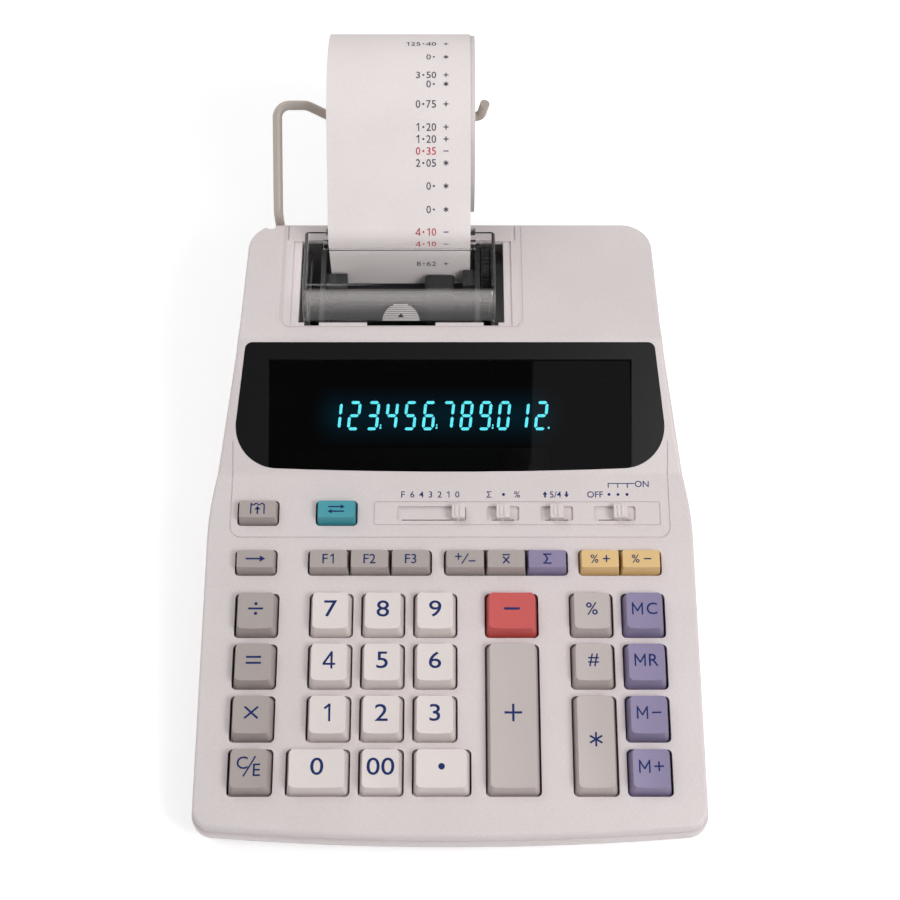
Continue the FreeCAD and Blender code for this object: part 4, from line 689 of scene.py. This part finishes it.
# The bars that light for each figure, lettered clockwise from the top, with g in the middle.
SHOWN = "123456789012"
LIT = {
    "0": "abcdef", "1": "bc", "2": "abged", "3": "abgcd", "4": "fgbc", "5": "afgcd", "6": "afgedc",
    "7": "abc", "8": "abcdefg", "9": "abcdfg",
}
DIGIT_SIZE = (3.7, 10.5)
DIGIT_STROKE = 1.15
SEGMENT_SHARE = 0.8
DIGIT_PITCH = 7.475
DIGIT_SLANT = 0.105
DIGIT_GROUP = 3
POINT_SIDE = 0.46 * DIGIT_PITCH
POINT_RISE = 0.4
POINT_RADIUS = 0.42
POINT_SIDES = 12
TAIL_RISE = 1.4
TAIL_SIZE = (0.8, 0.5)
DIGIT_LIFT = 0.06 * MM
DISPLAY_MIDDLE = (438.5, 416)


def add_segment(bm, x, y, length, turn):
    """One lit bar with pointed ends."""
    half = length / 2
    wide = DIGIT_STROKE / 2
    outline = [
        (half, 0), (half - wide, wide), (-half + wide, wide), (-half, 0), (-half + wide, -wide),
        (half - wide, -wide),
    ]
    place = Matrix.Translation((x, y, 0)) @ Matrix.Rotation(math.radians(turn), 4, "Z")
    bm.faces.new([bm.verts.new(place @ Vector((*corner, 0))) for corner in outline])


def add_digit(bm, x, character):
    """The lit bars of one seven-bar digit."""
    wide, tall = DIGIT_SIZE
    side = wide / 2
    level = tall / 4
    flat = wide * SEGMENT_SHARE + DIGIT_STROKE / 2
    rise = tall / 2 * SEGMENT_SHARE + DIGIT_STROKE / 4
    spots = {
        "a": (0, tall / 2, flat, 0), "g": (0, 0, flat, 0), "d": (0, -tall / 2, flat, 0),
        "b": (side, level, rise, 90), "c": (side, -level, rise, 90),
        "f": (-side, level, rise, 90), "e": (-side, -level, rise, 90),
    }
    for name in LIT[character]:
        px, py, length, turn = spots[name]
        add_segment(bm, x + px, py, length, turn)


digit_foot = -DIGIT_SIZE[1] / 2
last = len(SHOWN) - 1
bm = bmesh.new()
for i, character in enumerate(SHOWN):
    x = (i - last / 2) * DIGIT_PITCH
    add_digit(bm, x, character)
    if (i + 1) % DIGIT_GROUP:
        continue
    add_disc(bm, x + POINT_SIDE, digit_foot + POINT_RISE, POINT_RADIUS, POINT_SIDES)
    if i < last:
        add_bar(bm, x + POINT_SIDE, digit_foot + TAIL_RISE, *TAIL_SIZE, 90)
for vert in bm.verts:
    vert.co.x += vert.co.y * DIGIT_SLANT
tube_surface = surface_of("display_tube")
origin, normal = seen_on(tube_surface, *DISPLAY_MIDDLE)
up_tube = normal.cross(ACROSS).normalized()
laid_on(bm, tube_surface, origin, ACROSS, up_tube, DIGIT_LIFT)
piece_from(bm, "lit_digits", display_glow, "case")

# Painted glow: a sheet laid on the tube round the digits gives off blue-green light that fades away from
# the row, painted where the digits' light spreads over the tube.
PAINTED_HAZE = (0.0, 0.16, 0.26)
HAZE_REACH = 7.0 * MM
HAZE_FALL = 1.6
HAZE_SPREAD = (2.4, 4.4)
HAZE_LIFT = 0.03 * MM
painted_haze_light, shader, tree = bare_material("painted_haze_light", (0.002, 0.003, 0.003), rough=0.6)
shader.inputs["Emission Strength"].default_value = 1.0
shift = tree.nodes.new("ShaderNodeVectorMath")
shift.operation = "SUBTRACT"
shift.inputs[1].default_value = origin
tree.links.new(object_place(tree), shift.inputs[0])
apart = axes_of(tree, shift.outputs["Vector"])
half_row = DIGIT_PITCH * len(SHOWN) / 2 * MM
half_tall = DIGIT_SIZE[1] / 2 * MM
glow = 1.0
for axis, half in (("X", half_row), ("Y", half_tall)):
    reach = maths(tree, "ABSOLUTE", apart[axis], 0)
    fade = ranged(tree, reach, half - HAZE_REACH / 2, half + HAZE_REACH, 1.0, 0.0)
    glow = maths(tree, "MULTIPLY", glow, fade)
glow = maths(tree, "POWER", glow, HAZE_FALL)
tree.links.new(tinted(tree, PAINTED_HAZE, glow), shader.inputs["Emission Color"])
bm = bmesh.new()
spread = Matrix.Diagonal((half_row / MM * HAZE_SPREAD[0], half_tall / MM * HAZE_SPREAD[1], 1, 1))
bmesh.ops.create_grid(bm, x_segments=1, y_segments=1, size=0.5, matrix=spread)
laid_on(bm, tube_surface, origin, ACROSS, up_tube, HAZE_LIFT)
piece_from(bm, "painted_glow_spill", painted_haze_light, "case")

# Print mechanism: charcoal moulded side plates and bed, a rubber platen on a steel shaft,
# dark moulded gears, a small can motor, an inked felt roller and the carriage on its rod.
dark_plastic = moulded("dark_plastic", (0.02, 0.02, 0.022), rough=0.5, fleck=0.1)
roller_rubber = moulded("roller_rubber", (0.02, 0.02, 0.021), rough=0.65, fleck=0.15, bump=0.3)
gear_plastic = moulded("gear_plastic", (0.06, 0.06, 0.058), rough=0.4, fleck=0.04)
ink_felt = moulded("ink_felt", (0.02, 0.015, 0.06), rough=0.95, fleck=0.4, bump=0.8)
clad("printer_frame", dark_plastic)
clad("print_carriage", dark_plastic)
clad("platen_roller", roller_rubber)
clad("motor_pinion", gear_plastic)
clad("printer_motor", steel)
clad("ink_roller", ink_felt)

# Printer cover: a clear moulding with a raked front, a painted sheen along its ridge, and a saw edge at
# the back of its roof, dropped into the well and lifted off by the ribbed grip on its front.
clear_plastic, shader, tree = see_through("clear_plastic", (0.96, 0.96, 0.96), rough=0.01, smear_scale=80)
# Painted reflection: a pale, rough band is mixed into the clear plastic along the ridge, just behind the
# front, and stands in for light reflected there.
PAINTED_SHEEN = (3.2 * MM, 7.4 * MM, 8.8 * MM)
PAINTED_SHEEN_SHARE = 0.32
PAINTED_SHEEN_COLOUR = (0.6, 0.56, 0.55)
PAINTED_SHEEN_ROUGH = 0.5
cover_front = min(point.y for point in cover_points)
painted_ridge_sheen = tree.nodes.new("ShaderNodeBsdfPrincipled")
painted_ridge_sheen.inputs["Base Color"].default_value = (*PAINTED_SHEEN_COLOUR, 1)
painted_ridge_sheen.inputs["Roughness"].default_value = PAINTED_SHEEN_ROUGH
back = maths(tree, "SUBTRACT", axes_of(tree, object_place(tree))["Y"], cover_front)
rise = ranged(tree, back, PAINTED_SHEEN[0], PAINTED_SHEEN[1], 0.0, PAINTED_SHEEN_SHARE)
fall = ranged(tree, back, PAINTED_SHEEN[1], PAINTED_SHEEN[2], 1.0, 0.0)
mixed(tree, maths(tree, "MULTIPLY", rise, fall), shader, painted_ridge_sheen)
clad("printer_cover", clear_plastic)
nodes["printer_cover"].visible_shadow = False

frosted_plastic = moulded("frosted_plastic", (0.55, 0.52, 0.515), rough=0.5, fleck=0.03)
GRIP_FOOT = (401, 320.5)
GRIP_RADIUS = 7.4
GRIP_RIBS = 9
GRIP_SHARE = 0.97
GRIP_RIB = (0.55, 0.5)
GRIP_ROUND = 0.12
MARK_LIFT = 0.55 * MM
MARK_SIZE = (2.6, 1.7)
MARK_RISE = 2.4
cover_surface = surface_of("printer_cover")
grip_place, grip_normal = seen_on(cover_surface, *GRIP_FOOT)
grip_up = grip_normal.cross(ACROSS).normalized()
bm = bmesh.new()
for i in range(GRIP_RIBS):
    level = (i + 0.5) * GRIP_RADIUS * GRIP_SHARE / GRIP_RIBS
    chord = 2 * math.sqrt(GRIP_RADIUS**2 - level**2)
    add_rib(bm, Matrix.Translation((0, level, GRIP_RIB[1] / 2)), (chord, *GRIP_RIB), GRIP_ROUND)
bmesh.ops.scale(bm, vec=(MM, MM, MM), verts=bm.verts)
bmesh.ops.transform(bm, matrix=frame_at(grip_place, ACROSS, grip_up), verts=bm.verts)
piece_from(bm, "cover_grip", frosted_plastic, "cover", True)
bm = bmesh.new()
add_point(bm, 0, MARK_RISE, *MARK_SIZE)
bmesh.ops.scale(bm, vec=(MM, MM, MM), verts=bm.verts)
mark_place = frame_at(grip_place + grip_normal * MARK_LIFT, ACROSS, grip_up)
bmesh.ops.transform(bm, matrix=mark_place, verts=bm.verts)
piece_from(bm, "grip_mark", dark_plastic, "cover")

# Paper: a wound roll of thin off-white paper on a hollow core, and the strip that is drawn
# from it, round the platen, out through the cover and back over the roll.
PAPER_COLOUR = (0.8, 0.735, 0.725)
FIBRE_SCALE = 1300
CLOUD_SCALE = 45
TURN_SCALE = 420
TURN_WOBBLE = 0.6


def paper_finish(name, ring_centre=None):
    """Matt paper with faint fibres, and the edges of its turns where it is wound."""
    material, shader, tree = bare_material(name, PAPER_COLOUR, 0.85)
    place = object_place(tree)
    fibre = noise_in(tree, place, FIBRE_SCALE, 3.0)
    cloud = varied(tree, noise_in(tree, place, CLOUD_SCALE), 0.975, 1.01)
    factor = maths(tree, "ADD", varied(tree, fibre, -0.025, 0.025), cloud)
    height = fibre
    if ring_centre:
        shift = tree.nodes.new("ShaderNodeMapping")
        shift.inputs["Location"].default_value = [-value for value in ring_centre]
        tree.links.new(place, shift.inputs["Vector"])
        turns = tree.nodes.new("ShaderNodeTexWave")
        turns.wave_type = "RINGS"
        turns.rings_direction = "X"
        turns.inputs["Scale"].default_value = TURN_SCALE
        turns.inputs["Distortion"].default_value = TURN_WOBBLE
        tree.links.new(shift.outputs["Vector"], turns.inputs["Vector"])
        factor = maths(tree, "MULTIPLY", factor, ranged(tree, turns.outputs["Fac"], 0, 1, 0.86, 1.0))
        height = turns.outputs["Fac"]
    tree.links.new(tinted(tree, PAPER_COLOUR, factor), shader.inputs["Base Color"])
    add_bump(tree, shader, height, 0.2, RELIEF)
    return material


roll_low, roll_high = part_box("paper_roll")
roll_middle = [(low + high) / 2 for low, high in zip(roll_low, roll_high)]
clad("paper_roll", paper_finish("wound_paper", roll_middle))
clad("paper_tape", paper_finish("paper"))

PRINT_HEIGHT = 3.0
PRINT_WIDTH = 1.75
PRINT_PITCH = 2.08
PRINT_RIGHT = 436.5
SIGN_PLACE = 446

# Each printed number, its sign and the pixel row of the photograph where it stands.
ROWS = (
    ("125.40", "+", 44), ("0.", "*", 57), ("3.50", "+", 75), ("0.", "*", 84), ("0.75", "+", 104),
    ("1.20", "+", 127), ("1.20", "+", 139), ("0.35", "-", 151), ("2.05", "*", 163), ("0.", "*", 186),
    ("0.", "*", 209.5), ("4.10", "-", 232), ("4.10", "-", 244), ("8.62", "+", 264.5),
)
print_ink = moulded("print_ink", (0.05, 0.05, 0.075), rough=0.8, fleck=0.5)
red_print_ink = moulded("red_print_ink", (0.5, 0.035, 0.07), rough=0.8, fleck=0.4)
TAPE_LIFT = 0.08 * MM
tape_surface = surface_of("paper_tape")


def add_number(bm, number):
    """Digits from right to left in even steps, with a raised point."""
    for i, character in enumerate(reversed(number)):
        x = -(i + 0.5) * PRINT_PITCH
        if character == ".":
            add_disc(bm, x, 0, POINT_RADIUS, POINT_SIDES)
        elif character in STROKED:
            add_stroked(bm, character, PRINT_HEIGHT, x)
        else:
            add_text(bm, character, PRINT_HEIGHT, x, 0, PRINT_WIDTH)


PRINTED_SIGNS = {"*": star(2.1, 0.4), "-": ((add_bar, 0, 0, 2.0, 0.4),), "+": crossed(0, 0, 2.0, 0.4)}


def add_sign(bm, sign):
    """The sign at the end of a printed row."""
    draw(bm, PRINTED_SIGNS[sign])


inked = {"print_ink": bmesh.new(), "red_print_ink": bmesh.new()}
for number, sign, py in ROWS:
    ink = "red_print_ink" if sign == "-" else "print_ink"
    for drawing, value, px, kind in (
        (add_number, number, PRINT_RIGHT, ink), (add_sign, sign, SIGN_PLACE, "print_ink"),
    ):
        row = bmesh.new()
        drawing(row, value)
        print_mark(inked[kind], row, tape_surface, px, py, TAPE_LIFT)
piece_from(inked["print_ink"], "printed_rows", print_ink, "case")
piece_from(inked["red_print_ink"], "printed_red_rows", red_print_ink, "case")

# Roll holder: one length of wire in a beige coating, bent to shape and pushed into a hole
# in the back of the case, with the roll threaded on its free end.
coated_wire = moulded("coated_wire", (0.47, 0.415, 0.37), rough=0.35, fleck=0.05)
clad("roll_holder", coated_wire)

# Stage: a white sweep under soft studio light, with the camera high in front of the keys. The
# floor and the room show brighter to the camera than the light that they throw on the object.
FLOOR_SIZE = 6.0
bm = bmesh.new()
bmesh.ops.create_grid(bm, x_segments=1, y_segments=1, size=FLOOR_SIZE / 2)
floor_mesh = bpy.data.meshes.new("floor")
bm.to_mesh(floor_mesh)
bm.free()
floor = bpy.data.objects.new("floor", floor_mesh)
bpy.context.scene.collection.objects.link(floor)
floor_white, shader, tree = bare_material("floor_white", (0.85, 0.85, 0.85), rough=0.9)
floor_mesh.materials.append(floor_white)


def seen_rays(tree):
    """One for rays from the camera, or from it by way of gloss or glass."""
    path = tree.nodes.new("ShaderNodeLightPath")
    seen = maths(tree, "MAXIMUM", path.outputs["Is Camera Ray"], path.outputs["Is Glossy Ray"])
    return maths(tree, "MAXIMUM", seen, path.outputs["Is Transmission Ray"])


FLOOR_LIFT = 0.36
shader.inputs["Emission Color"].default_value = (1, 1, 1, 1)
tree.links.new(maths(tree, "MULTIPLY", seen_rays(tree), FLOOR_LIFT), shader.inputs["Emission Strength"])
ROOM_LIGHT = 0.5
CEILING = 0.05
world = bpy.data.worlds.new("studio")
bpy.context.scene.world = world
world.use_nodes = True
tree = world.node_tree
sky = tree.nodes["Background"]
sky.inputs["Color"].default_value = (1, 1, 1, 1)
sky_aim = axes_of(tree, tree.nodes.new("ShaderNodeTexCoord").outputs["Generated"])
backdrop = ranged(tree, sky_aim["Z"], 0.3, 0.8, 1.0, CEILING)
extra = maths(tree, "MULTIPLY", seen_rays(tree), maths(tree, "SUBTRACT", backdrop, ROOM_LIGHT))
tree.links.new(maths(tree, "ADD", extra, ROOM_LIGHT), sky.inputs["Strength"])


def soft_box(name, place, aim, size, power):
    """A square diffuse lamp that faces a point."""
    lamp = bpy.data.lights.new(name, "AREA")
    lamp.shape = "SQUARE"
    lamp.size = size
    lamp.energy = power
    holder = bpy.data.objects.new(name, lamp)
    holder.location = place
    holder.rotation_euler = (Vector(aim) - Vector(place)).to_track_quat("-Z", "Y").to_euler()
    bpy.context.scene.collection.objects.link(holder)


soft_box("back_lamp", (-0.6, 0.6, 1.2), aim=(0, 0, 0.05), size=0.8, power=5.4)
soft_box("main_lamp", (0.44, -0.36, 0.66), aim=(0.03, -0.02, 0.05), size=0.3, power=3.2)
soft_box("side_lamp", (0.25, -0.33, 0.74), aim=(0.25, -0.33, 0), size=0.36, power=0.07)

camera_data = bpy.data.cameras.new("camera")
camera_data.sensor_width = 36
camera_data.lens = 64
camera = bpy.data.objects.new("camera", camera_data)
camera.location = EYE
camera.rotation_euler = (EYE_PITCH, 0, 0)
bpy.context.scene.collection.objects.link(camera)
bpy.context.scene.camera = camera
bpy.context.scene.view_settings.view_transform = "Standard"


def corners(box):
    """A box's two corners as plain numbers."""
    return [[float(value) for value in corner] for corner in box]
